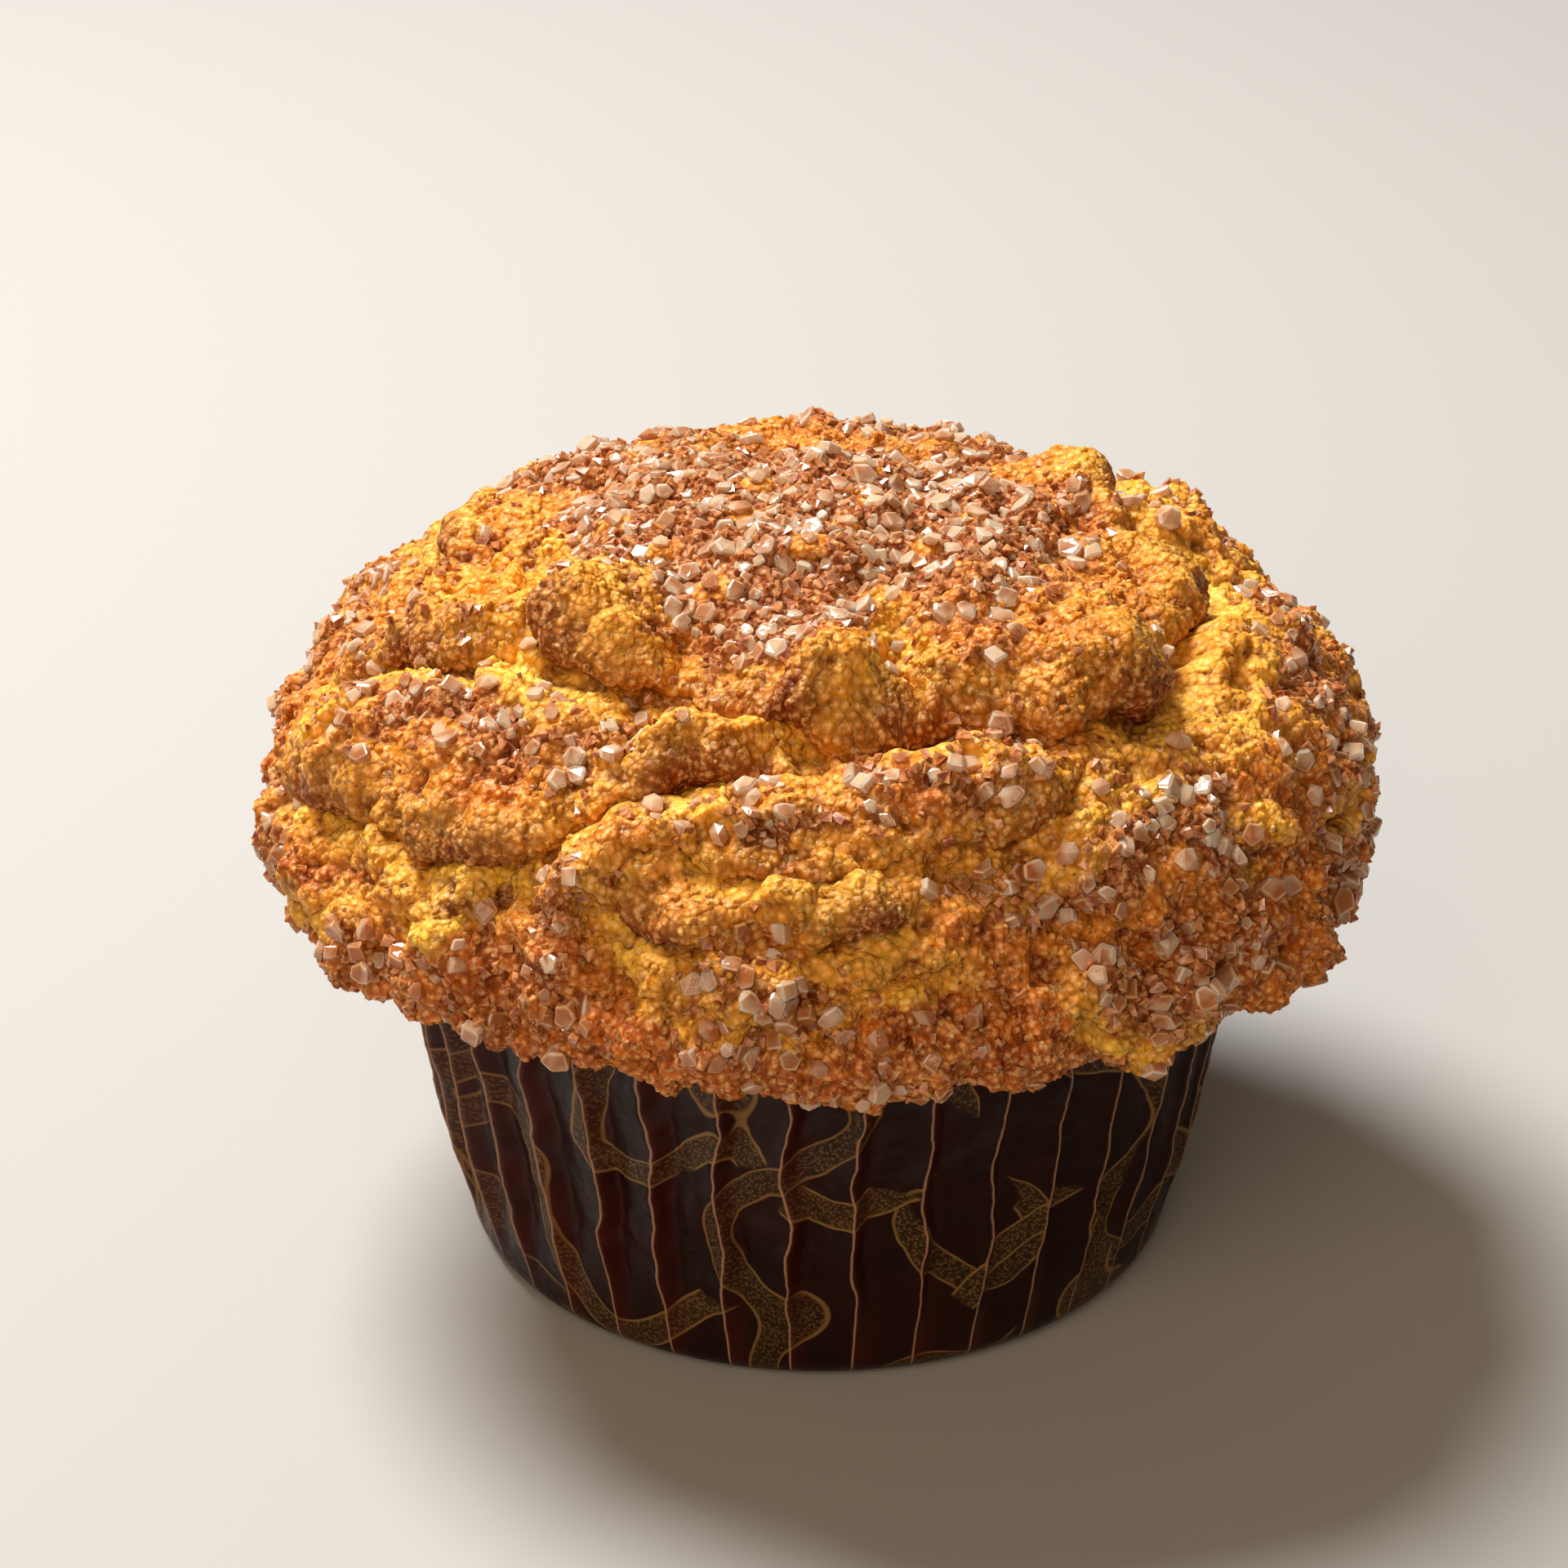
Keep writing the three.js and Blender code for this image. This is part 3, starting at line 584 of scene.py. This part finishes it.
# The chips' worn edges are lightened with a painted highlight.
edge_highlight_share = add(tree, "ShaderNodeAttribute", output="Fac", attribute_name="edge")
tint = add(tree, "ShaderNodeMix", {0: edge_highlight_share, 6: body, 7: edge}, 2, data_type="RGBA")
tree.links.new(tint, shader.inputs["Base Color"])
frost = add(tree, "ShaderNodeTexNoise", {"Vector": place, "Scale": 1 / (FROST * MM), "Detail": 2.0}, "Fac")
bump = add(tree, "ShaderNodeBump", {"Height": frost, "Distance": 0.1 * MM, "Strength": 0.5})
tree.links.new(bump, shader.inputs["Normal"])
shader.inputs["Subsurface Weight"].default_value = 0.5
shader.inputs["Subsurface Radius"].default_value = (1.0, 0.8, 0.6)
shader.inputs["Subsurface Scale"].default_value = 1 * MM
shader.inputs["Transmission Weight"].default_value = 0.4
shader.inputs["IOR"].default_value = 1.54
shader.inputs["Roughness"].default_value = 0.09
for node in cad_crystals:
    node.data.materials.clear()
    node.data.materials.append(sugar_material)

# Cinnamon sugar: small grains, from clear tan to the red brown of the spice.
SPICE_BLEND = 0.9
grain_material = bpy.data.materials.new("cinnamon_sugar")
grain_material.use_nodes = True
tree = grain_material.node_tree
shader = tree.nodes["Principled BSDF"]
place = add(tree, "ShaderNodeTexCoord", output="Object")
blend = add(tree, "ShaderNodeTexNoise", {"Vector": place, "Scale": 1 / (SPICE_BLEND * MM), "Detail": 2.0},
            "Fac")
blend = add(tree, "ShaderNodeMapRange", {0: blend, 1: 0.35, 2: 0.65, 3: 0.0, 4: 1.0})
tint = add(tree, "ShaderNodeMix", {0: blend, 6: linear("#d0905a"), 7: linear("#843808")}, 2, data_type="RGBA")
tree.links.new(tint, shader.inputs["Base Color"])
shader.inputs["Subsurface Weight"].default_value = 0.4
shader.inputs["Subsurface Radius"].default_value = (1.0, 0.8, 0.6)
shader.inputs["Subsurface Scale"].default_value = 0.6 * MM
shader.inputs["Roughness"].default_value = 0.25

CROWDING = 1.2  # points tried for each square of the spacing's side


def sprinkle(name, host, material, shapes, density, sizes, seed, smooth_shaded):
    """Scatters chips over the host's surface, as thickly as its attribute says."""
    tree = bpy.data.node_groups.new(name, "GeometryNodeTree")
    tree.interface.new_socket("Geometry", in_out="INPUT", socket_type="NodeSocketGeometry")
    sockets = {key: tree.interface.new_socket(key, in_out="INPUT", socket_type="NodeSocketFloat")
               for key in sizes}
    tree.interface.new_socket("Geometry", in_out="OUTPUT", socket_type="NodeSocketGeometry")
    given = tree.nodes.new("NodeGroupInput").outputs
    thickly = add(tree, "GeometryNodeInputNamedAttribute", {"Name": density}, data_type="FLOAT")
    spots = tree.nodes.new("GeometryNodeDistributePointsOnFaces")
    spots.distribute_method = "POISSON"
    tree.links.new(given["Geometry"], spots.inputs["Mesh"])
    tree.links.new(given["Spacing"], spots.inputs["Distance Min"])
    tree.links.new(thickly, spots.inputs["Density Factor"])
    spots.inputs["Density Max"].default_value = CROWDING / sizes["Spacing"] ** 2
    spots.inputs["Seed"].default_value = seed
    outward = spots.outputs["Normal"]
    down = add(tree, "ShaderNodeMath", {0: given["Sink"], 1: -1.0}, operation="MULTIPLY")
    inward = add(tree, "ShaderNodeVectorMath", {0: outward, "Scale": down}, operation="SCALE")
    points = add(tree, "GeometryNodeSetPosition", {"Geometry": spots.outputs["Points"], "Offset": inward})
    facing = add(tree, "FunctionNodeAlignRotationToVector", {"Vector": outward}, axis="Z")
    back = add(tree, "ShaderNodeMath", {0: given["Tilt"], 1: -1.0}, operation="MULTIPLY")
    low = add(tree, "ShaderNodeCombineXYZ", {"X": back, "Y": back, "Z": 0.0})
    high = add(tree, "ShaderNodeCombineXYZ", {"X": given["Tilt"], "Y": given["Tilt"], "Z": 2 * np.pi})
    turn = add(tree, "FunctionNodeRandomValue", {0: low, 1: high, "Seed": seed + 1},
               data_type="FLOAT_VECTOR")
    facing = add(tree, "FunctionNodeRotateRotation", {0: facing, 1: turn}, rotation_space="LOCAL")
    less = add(tree, "ShaderNodeMath", {0: 1.0, 1: given["Spread"]}, operation="SUBTRACT")
    more = add(tree, "ShaderNodeMath", {0: 1.0, 1: given["Spread"]}, operation="ADD")
    scale = add(tree, "FunctionNodeRandomValue", {2: less, 3: more, "Seed": seed + 2}, 1, data_type="FLOAT")
    scale = add(tree, "ShaderNodeMath", {0: scale, 1: given["Size"]}, operation="MULTIPLY")
    chips = tree.nodes.new("GeometryNodeJoinGeometry")
    for shape in shapes(tree, seed):
        tree.links.new(add(tree, "GeometryNodeGeometryToInstance", {0: shape}), chips.inputs[0])
    placed = add(tree, "GeometryNodeInstanceOnPoints", {
        "Points": points, "Instance": chips.outputs[0], "Pick Instance": True, "Rotation": facing,
        "Scale": scale})
    placed = add(tree, "GeometryNodeRealizeInstances", {0: placed})
    placed = add(tree, "GeometryNodeSetShadeSmooth", {0: placed, "Shade Smooth": smooth_shaded})
    placed = add(tree, "GeometryNodeSetMaterial", {"Geometry": placed, "Material": material})
    leave = tree.nodes.new("NodeGroupOutput")
    tree.links.new(placed, leave.inputs[0])
    piece = bpy.data.objects.new(name, host.data)
    bpy.context.scene.collection.objects.link(piece)
    modifier = piece.modifiers.new(name, "NODES")
    modifier.node_group = tree
    for key, value in sizes.items():
        modifier[sockets[key].identifier] = value
    depsgraph = bpy.context.evaluated_depsgraph_get()
    made = bpy.data.meshes.new_from_object(piece.evaluated_get(depsgraph), depsgraph=depsgraph)
    piece.modifiers.clear()
    piece.data = made
    made.name = name
    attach(piece, "root")
    return piece


CHIP_SHAPES = 8  # different shapes of each kind, one unit across before they are scaled


def sugar_chips(tree, seed):
    """Broken tablets of sugar of 4 to 6 sides, each face standing a little out of its worn edges."""
    for k in range(CHIP_SHAPES):
        block = add(tree, "GeometryNodeMeshCylinder", {"Vertices": 4 + k % 3, "Radius": 0.5, "Depth": 0.34})
        block = add(tree, "GeometryNodeTransform", {"Geometry": block, "Scale": (1, 0.66 + 0.04 * k, 1)})
        knock = add(tree, "FunctionNodeRandomValue", {0: (-0.12, -0.12, -0.07), 1: (0.12, 0.12, 0.07),
                                                      "Seed": seed + 20 + k}, data_type="FLOAT_VECTOR")
        block = add(tree, "GeometryNodeSetPosition", {"Geometry": block, "Offset": knock})
        raised = add(tree, "GeometryNodeExtrudeMesh", {"Mesh": block, "Offset Scale": 0.05,
                                                       "Individual": True}).node
        worn_and_highlit = add(tree, "GeometryNodeScaleElements", {"Geometry": raised.outputs["Mesh"],
                                                       "Selection": raised.outputs["Top"], "Scale": 0.8})
        # 1 on the points round each raised face's worn rim, where the painted highlight goes.
        inner = add(tree, "ShaderNodeMath", {0: 1.0, 1: raised.outputs["Top"]}, operation="SUBTRACT")
        yield add(tree, "GeometryNodeStoreNamedAttribute", {"Geometry": worn_and_highlit, "Name": "edge", "Value": inner},
                  data_type="FLOAT", domain="POINT")


def round_grains(tree, seed):
    """Rough round grains."""
    for k in range(CHIP_SHAPES):
        ball = add(tree, "GeometryNodeMeshIcoSphere", {"Radius": 0.5, "Subdivisions": 1})
        knock = add(tree, "FunctionNodeRandomValue", {0: (-0.08,) * 3, 1: (0.08,) * 3, "Seed": seed + 20 + k},
                    data_type="FLOAT_VECTOR")
        yield add(tree, "GeometryNodeSetPosition", {"Geometry": ball, "Offset": knock})


def sugar_grains(tree, seed):
    """Small broken cubes."""
    for k in range(CHIP_SHAPES):
        size = (0.84, 0.84 * (0.62 + 0.05 * k), 0.5 + 0.05 * (k % 3))
        block = add(tree, "GeometryNodeMeshCube", {"Size": size})
        knock = add(tree, "FunctionNodeRandomValue", {0: (-0.2,) * 3, 1: (0.2,) * 3, "Seed": seed + 20 + k},
                    data_type="FLOAT_VECTOR")
        yield add(tree, "GeometryNodeSetPosition", {"Geometry": block, "Offset": knock})


crystal_sizes = {"Spacing": 1.5 * MM, "Size": 1.85 * MM, "Spread": 0.4, "Sink": -0.1 * MM, "Tilt": 0.38}
crystals = sprinkle("coarse_sugar_chips", muffin, sugar_material, sugar_chips, "sugar", crystal_sizes,
                    seed=3, smooth_shaded=False)
grain_sizes = {"Spacing": 0.85 * MM, "Size": 0.9 * MM, "Spread": 0.4, "Sink": -0.05 * MM, "Tilt": 0.7}
grains = sprinkle("fine_sugar_grains", muffin, grain_material, sugar_grains, "sugar", grain_sizes,
                  seed=5, smooth_shaded=False)
crumb_sizes = {"Spacing": 0.85 * MM, "Size": 0.8 * MM, "Spread": 0.45, "Sink": 0.12 * MM, "Tilt": 0.6}
crumbs = sprinkle("crust_crumbs", muffin, crumb_material, round_grains, "crumbly", crumb_sizes,
                  seed=9, smooth_shaded=True)

# ---- The paper case ----
# A disc of dark brown greaseproof paper, printed with ribbons and pressed between a fluted die
# and its mould, so that its wall folds into sharp pleats. The crown hides its rim.
BASE_RADIUS = 34.3
CASE_HEIGHT = 39
CASE_FLARE = 0.165
CASE_FOOT = 2.5
PLEATS = 38
PLEAT_DEPTH = 1.1
PLEAT_FOOT = 0.8
PLEAT_START = 14
PAPER = 0.12
# Across one pleat: a sharp crest, a steep side down to the fold, and a broad panel up again.
PLEAT_CORNERS = [(0, 1), (0.1, 0.2), (0.22, -0.8), (0.34, -0.62), (0.6, -0.1), (0.84, 0.25),
                 (0.94, 0.62), (1, 1)]
COLUMNS = 16  # columns of points to a pleat
ROWS = 78
BASE_SHARE = 0.08  # share of the rows that lie in the base
FOLD_WANDER = 9  # size of the bends in a crest
CREASE_SIZE = 4.2

case_tree = bpy.data.node_groups.new("pleated_case", "GeometryNodeTree")
case_sizes = {"Base radius": BASE_RADIUS, "Height": CASE_HEIGHT, "Flare": CASE_FLARE, "Foot": CASE_FOOT,
              "Pleats": PLEATS, "Pleat depth": PLEAT_DEPTH, "Meander": 0.3, "Crumple": 1.4}
case_sockets = {key: case_tree.interface.new_socket(key, in_out="INPUT", socket_type="NodeSocketFloat")
                for key in case_sizes}
case_tree.interface.new_socket("Geometry", in_out="OUTPUT", socket_type="NodeSocketGeometry")
given = case_tree.nodes.new("NodeGroupInput").outputs

# A flat sheet of points: X goes round the case, Y from the middle of the base up to the rim.
grid = add(case_tree, "GeometryNodeMeshGrid", {"Size X": 1.0, "Size Y": 1.0,
                                               "Vertices X": PLEATS * COLUMNS + 1, "Vertices Y": ROWS})
spot = add(case_tree, "GeometryNodeInputPosition")
spot = add(case_tree, "ShaderNodeSeparateXYZ", {0: spot}).node.outputs
around = add(case_tree, "ShaderNodeMath", {0: spot["X"], 1: 0.5}, operation="ADD")
up = add(case_tree, "ShaderNodeMath", {0: spot["Y"], 1: 0.5}, operation="ADD")
in_base = add(case_tree, "ShaderNodeMapRange", {0: up, 1: 0.0, 2: BASE_SHARE})
up = add(case_tree, "ShaderNodeMapRange", {0: up, 1: BASE_SHARE, 2: 1.0, 3: 0.0, 4: given["Height"]})

# The wall leans out, and its foot is a quarter round.
short = add(case_tree, "ShaderNodeMapRange", {0: up, 1: 0.0, 2: given["Foot"], 3: 1.0, 4: 0.0})
short = add(case_tree, "ShaderNodeMath", {0: short, 1: 2.0}, operation="POWER")
short = add(case_tree, "ShaderNodeMath", {0: 1.0, 1: short}, operation="SUBTRACT")
short = add(case_tree, "ShaderNodeMath", {0: short}, operation="SQRT")
short = add(case_tree, "ShaderNodeMath", {0: 1.0, 1: short}, operation="SUBTRACT")
short = add(case_tree, "ShaderNodeMath", {0: short, 1: given["Foot"]}, operation="MULTIPLY")
leaning = add(case_tree, "ShaderNodeMath", {0: up, 1: given["Flare"], 2: given["Base radius"]},
              operation="MULTIPLY_ADD")
wall = add(case_tree, "ShaderNodeMath", {0: leaning, 1: short}, operation="SUBTRACT")
wall = add(case_tree, "ShaderNodeMath", {0: wall, 1: in_base}, operation="MULTIPLY")
angle = add(case_tree, "ShaderNodeMath", {0: around, 1: 2 * np.pi}, operation="MULTIPLY")
unpleated = add(case_tree, "ShaderNodeCombineXYZ", {"X": wall, "Z": up})
unpleated = add(case_tree, "ShaderNodeVectorRotate", {"Vector": unpleated, "Angle": angle},
                rotation_type="Z_AXIS")

# The pleats open upwards from the foot. Each crest wanders, and the paper between is creased.
NUDGE = 0.0005  # keeps the first column of a pleat from being counted in the pleat before it
opened = add(case_tree, "ShaderNodeMapRange", {0: up, 1: PLEAT_FOOT, 2: PLEAT_START},
             interpolation_type="SMOOTHSTEP")
across = add(case_tree, "ShaderNodeMath", {0: around, 1: given["Pleats"], 2: NUDGE},
             operation="MULTIPLY_ADD")
across = add(case_tree, "ShaderNodeMath", {0: across}, operation="FRACT")
profile = case_tree.nodes.new("ShaderNodeFloatCurve")
profile.mapping.use_clip = False
curve = profile.mapping.curves[0]
curve.points[0].location, curve.points[1].location = PLEAT_CORNERS[0], PLEAT_CORNERS[-1]
for corner in PLEAT_CORNERS[1:-1]:
    curve.points.new(*corner)
for point in curve.points:
    point.handle_type = "VECTOR"
profile.mapping.update()
case_tree.links.new(across, profile.inputs["Value"])
depth = add(case_tree, "ShaderNodeMath", {0: opened, 1: given["Pleat depth"]}, operation="MULTIPLY")
radius = add(case_tree, "ShaderNodeMath", {0: profile.outputs[0], 1: depth, 2: wall},
             operation="MULTIPLY_ADD")
squeezed = add(case_tree, "ShaderNodeVectorMath", {0: unpleated, 1: (1.0, 1.0, 0.6)}, operation="MULTIPLY")
crease = add(case_tree, "ShaderNodeTexNoise", {"Vector": squeezed, "Scale": 1 / CREASE_SIZE, "Detail": 4.0,
                                               "Roughness": 0.62}, "Fac")
crease = add(case_tree, "ShaderNodeMath", {0: crease, 1: 0.5}, operation="SUBTRACT")
crumple = add(case_tree, "ShaderNodeMath", {0: opened, 1: given["Crumple"]}, operation="MULTIPLY")
radius = add(case_tree, "ShaderNodeMath", {0: crease, 1: crumple, 2: radius}, operation="MULTIPLY_ADD")
sway = add(case_tree, "ShaderNodeTexNoise", {"Vector": unpleated, "Scale": 1 / FOLD_WANDER, "Detail": 3.0},
           "Fac")
sway = add(case_tree, "ShaderNodeMath", {0: sway, 1: 0.5}, operation="SUBTRACT")
meander = add(case_tree, "ShaderNodeMath", {0: opened, 1: given["Meander"]}, operation="MULTIPLY")
meander = add(case_tree, "ShaderNodeMath", {0: meander, 1: 4 * np.pi / PLEATS}, operation="MULTIPLY")
angle = add(case_tree, "ShaderNodeMath", {0: sway, 1: meander, 2: angle}, operation="MULTIPLY_ADD")
pleated = add(case_tree, "ShaderNodeCombineXYZ", {"X": radius, "Z": up})
pleated = add(case_tree, "ShaderNodeVectorRotate", {"Vector": pleated, "Angle": angle},
              rotation_type="Z_AXIS")
pleated = add(case_tree, "ShaderNodeVectorMath", {0: pleated, "Scale": MM}, operation="SCALE")
crest = add(case_tree, "ShaderNodeMapRange", {0: across, 1: 0.0, 2: 1.0, 3: -1.0, 4: 1.0})
crest = add(case_tree, "ShaderNodeMath", {0: crest}, operation="ABSOLUTE")
sheet = grid
for kind, name, value in (("FLOAT", "crest", crest), ("FLOAT", "across", across),
                          ("FLOAT_VECTOR", "print", unpleated)):
    sheet = add(case_tree, "GeometryNodeStoreNamedAttribute",
                {"Geometry": sheet, "Name": name, "Value": value}, data_type=kind, domain="POINT")
sheet = add(case_tree, "GeometryNodeSetPosition", {"Geometry": sheet, "Position": pleated})
sheet = add(case_tree, "GeometryNodeMergeByDistance", {"Geometry": sheet, "Distance": 0.005 * MM})
sheet = add(case_tree, "GeometryNodeSetShadeSmooth", {0: sheet, "Shade Smooth": True})

# Greaseproof paper: nearly black brown, with a dull sheen. The print is of ribbons of fine gold dots
# between two thin lines. Each crest is rubbed down to the pale fibres and has a painted highlight, and
# the fold beside it has a painted dark red glow, standing for light that comes through one layer of paper.
RIBBON_HALF_WIDTH = 1.5
RIBBON_RUN = 16  # size of the noise that starts and ends a ribbon
BORDER = 0.2
DOT_SIZE = 0.32
SAMPLE = 0.5  # distance over which the steepness of a ribbon's noise is felt
GREASE_PATCH = 6
FIBRE = 0.9  # a paper fibre is finer, and this is as fine as shows
paper_material = bpy.data.materials.new("printed_greaseproof_paper")
paper_material.use_nodes = True
tree = paper_material.node_tree
shader = tree.nodes["Principled BSDF"]
printed = add(tree, "ShaderNodeAttribute", {}, "Vector", attribute_name="print")
crest_here = add(tree, "ShaderNodeAttribute", {}, "Fac", attribute_name="crest")
across_here = add(tree, "ShaderNodeAttribute", {}, "Fac", attribute_name="across")
tone = add(tree, "ShaderNodeTexNoise", {"Vector": printed, "Scale": 1 / GREASE_PATCH, "Detail": 3.0}, "Fac")
colour = add(tree, "ShaderNodeMix", {0: tone, 6: linear("#0c0301"), 7: linear("#2c0c04")}, 2,
             data_type="RGBA")
dots = add(tree, "ShaderNodeTexVoronoi", {"Vector": printed, "Scale": 1 / DOT_SIZE}, "Distance")
dots = add(tree, "ShaderNodeMapRange", {0: dots, 1: 0.2, 2: 0.55, 3: 0.45, 4: 0.0})
for bend, layout, ground, gold in ((15, 3.0, "#2c1a0a", "#8a6434"), (19, 31.0, "#33200c", "#946c3a")):
    # A ribbon follows the line where a noise is at its middle value. How far off that line a place
    # is comes from the noise there, divided by its steepness.
    flow = []
    for step in ((0, 0, 0), (SAMPLE, 0, 0), (0, SAMPLE, 0), (0, 0, SAMPLE)):
        moved = tuple(layout + part for part in step)
        moved = add(tree, "ShaderNodeVectorMath", {0: printed, 1: moved}, operation="ADD")
        flow.append(add(tree, "ShaderNodeTexNoise", {"Vector": moved, "Scale": 1 / bend, "Detail": 0.0},
                        "Fac"))
    rises = [add(tree, "ShaderNodeMath", {0: f, 1: flow[0]}, operation="SUBTRACT") for f in flow[1:]]
    steepness = add(tree, "ShaderNodeCombineXYZ", dict(enumerate(rises)))
    steepness = add(tree, "ShaderNodeVectorMath", {0: steepness}, "Value", operation="LENGTH")
    off = add(tree, "ShaderNodeMath", {0: flow[0], 1: 0.5}, operation="SUBTRACT")
    off = add(tree, "ShaderNodeMath", {0: off}, operation="ABSOLUTE")
    off = add(tree, "ShaderNodeMath", {0: off, 1: steepness}, operation="DIVIDE")
    off = add(tree, "ShaderNodeMath", {0: off, 1: SAMPLE}, operation="MULTIPLY")
    ribbon = add(tree, "ShaderNodeMapRange", {0: off, 1: RIBBON_HALF_WIDTH - 0.05,
                                              2: RIBBON_HALF_WIDTH + 0.05, 3: 1.0, 4: 0.0})
    border = add(tree, "ShaderNodeMapRange", {0: off, 1: RIBBON_HALF_WIDTH - BORDER - 0.1,
                                              2: RIBBON_HALF_WIDTH - BORDER + 0.02, 3: 0.0, 4: 0.7})
    gilded = add(tree, "ShaderNodeMath", {0: border, 1: dots}, operation="MAXIMUM")
    shade = add(tree, "ShaderNodeMix", {0: gilded, 6: linear(ground), 7: linear(gold)}, 2, data_type="RGBA")
    moved = add(tree, "ShaderNodeVectorMath", {0: printed, 1: (2 * layout, 0, 0)}, operation="ADD")
    length = add(tree, "ShaderNodeTexNoise", {"Vector": moved, "Scale": 1 / RIBBON_RUN, "Detail": 0.0}, "Fac")
    length = add(tree, "ShaderNodeMapRange", {0: length, 1: 0.44, 2: 0.455})
    ribbon = add(tree, "ShaderNodeMath", {0: ribbon, 1: length}, operation="MULTIPLY")
    colour = add(tree, "ShaderNodeMix", {0: ribbon, 6: colour, 7: shade}, 2, data_type="RGBA")
# A painted glow: dark red in the fold beside each crest, for light that comes through the paper.
painted_red_glow = add(tree, "ShaderNodeMapRange", {0: across_here, 1: 0.05, 2: 0.4, 3: 0.8, 4: 0.0})
painted_red_glow = add(tree, "ShaderNodeMath", {0: painted_red_glow, 1: tone}, operation="MULTIPLY")
colour = add(tree, "ShaderNodeMix", {0: painted_red_glow, 6: colour, 7: linear("#4c1205")}, 2, data_type="RGBA")
# Each crest's pale line is partly its worn fibres, partly a painted highlight.
worn_and_highlit = add(tree, "ShaderNodeMapRange", {0: crest_here, 1: 0.95, 2: 1.0, 3: 0.0, 4: 0.9})
colour = add(tree, "ShaderNodeMix", {0: worn_and_highlit, 6: colour, 7: linear("#b98a68")}, 2, data_type="RGBA")
tree.links.new(colour, shader.inputs["Base Color"])
fibre = add(tree, "ShaderNodeTexNoise", {"Vector": printed, "Scale": 1 / FIBRE, "Detail": 3.0}, "Fac")
bump = add(tree, "ShaderNodeBump", {"Height": fibre, "Distance": 0.2 * MM, "Strength": 0.5})
tree.links.new(bump, shader.inputs["Normal"])
shine = add(tree, "ShaderNodeMapRange", {0: fibre, 1: 0.3, 2: 0.7, 3: 0.32, 4: 0.5})
tree.links.new(shine, shader.inputs["Roughness"])
shader.inputs["Specular IOR Level"].default_value = 0.16

sheet = add(case_tree, "GeometryNodeRealizeInstances", {0: sheet})
sheet = add(case_tree, "GeometryNodeSetMaterial", {"Geometry": sheet, "Material": paper_material})
case_tree.links.new(sheet, case_tree.nodes.new("NodeGroupOutput").inputs[0])
case = bpy.data.objects.new("paper_case_pleated", bpy.data.meshes.new("start"))
bpy.context.scene.collection.objects.link(case)
pleating = case.modifiers.new("pleating", "NODES")
pleating.node_group = case_tree
for key, value in case_sizes.items():
    pleating[case_sockets[key].identifier] = float(value)
walling = case.modifiers.new("paper_thickness", "SOLIDIFY")
walling.thickness = PAPER * MM
walling.offset = -1
depsgraph = bpy.context.evaluated_depsgraph_get()
paper_mesh = bpy.data.meshes.new_from_object(case.evaluated_get(depsgraph), depsgraph=depsgraph)
case.modifiers.clear()
case.data = paper_mesh
paper_mesh.name = "paper_case_pleated"
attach(case, "root")
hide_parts("paper_case")

# ---- Floor and light ----
# A pale matt table under one softbox above and behind the muffin, which lights its top and leaves
# its front lips in shade, and a large, weak and warmer one in front.
FLOOR_HALF = 3  # metres, as are the lights' places and sizes
MUFFIN_MIDDLE = (0, 0, 0.045)
corners = [(-FLOOR_HALF, -FLOOR_HALF, 0), (FLOOR_HALF, -FLOOR_HALF, 0),
           (FLOOR_HALF, FLOOR_HALF, 0), (-FLOOR_HALF, FLOOR_HALF, 0)]
floor_mesh = bpy.data.meshes.new("floor")
floor_mesh.from_pydata(corners, [], [(0, 1, 2, 3)])
floor = bpy.data.objects.new("floor", floor_mesh)
bpy.context.scene.collection.objects.link(floor)
floor_material = bpy.data.materials.new("floor")
floor_material.use_nodes = True
shader = floor_material.node_tree.nodes["Principled BSDF"]
shader.inputs["Base Color"].default_value = linear("#a9a6a1")
shader.inputs["Roughness"].default_value = 0.8
floor_mesh.materials.append(floor_material)


def softbox(name, place, size, watts, colour):
    """A round soft light, aimed at the middle of the muffin."""
    lamp = bpy.data.lights.new(name, "AREA")
    lamp.shape = "DISK"
    lamp.size = size
    lamp.energy = watts
    lamp.color = linear(colour)[:3]
    holder = bpy.data.objects.new(name, lamp)
    holder.location = place
    holder.rotation_euler = (Vector(MUFFIN_MIDDLE) - Vector(place)).to_track_quat("-Z", "Y").to_euler()
    bpy.context.scene.collection.objects.link(holder)


softbox("key", place=(-0.35, 0.32, 0.88), size=0.45, watts=19, colour="#ffffff")
softbox("front_fill", place=(-0.3, -1.0, 0.75), size=1.0, watts=8, colour="#ffe4c4")
world = bpy.data.worlds.new("studio")
world.use_nodes = True
world.node_tree.nodes["Background"].inputs["Color"].default_value = linear("#fff4e6")
world.node_tree.nodes["Background"].inputs["Strength"].default_value = 0.14
bpy.context.scene.world = world
bpy.context.scene.view_settings.view_transform = "Standard"
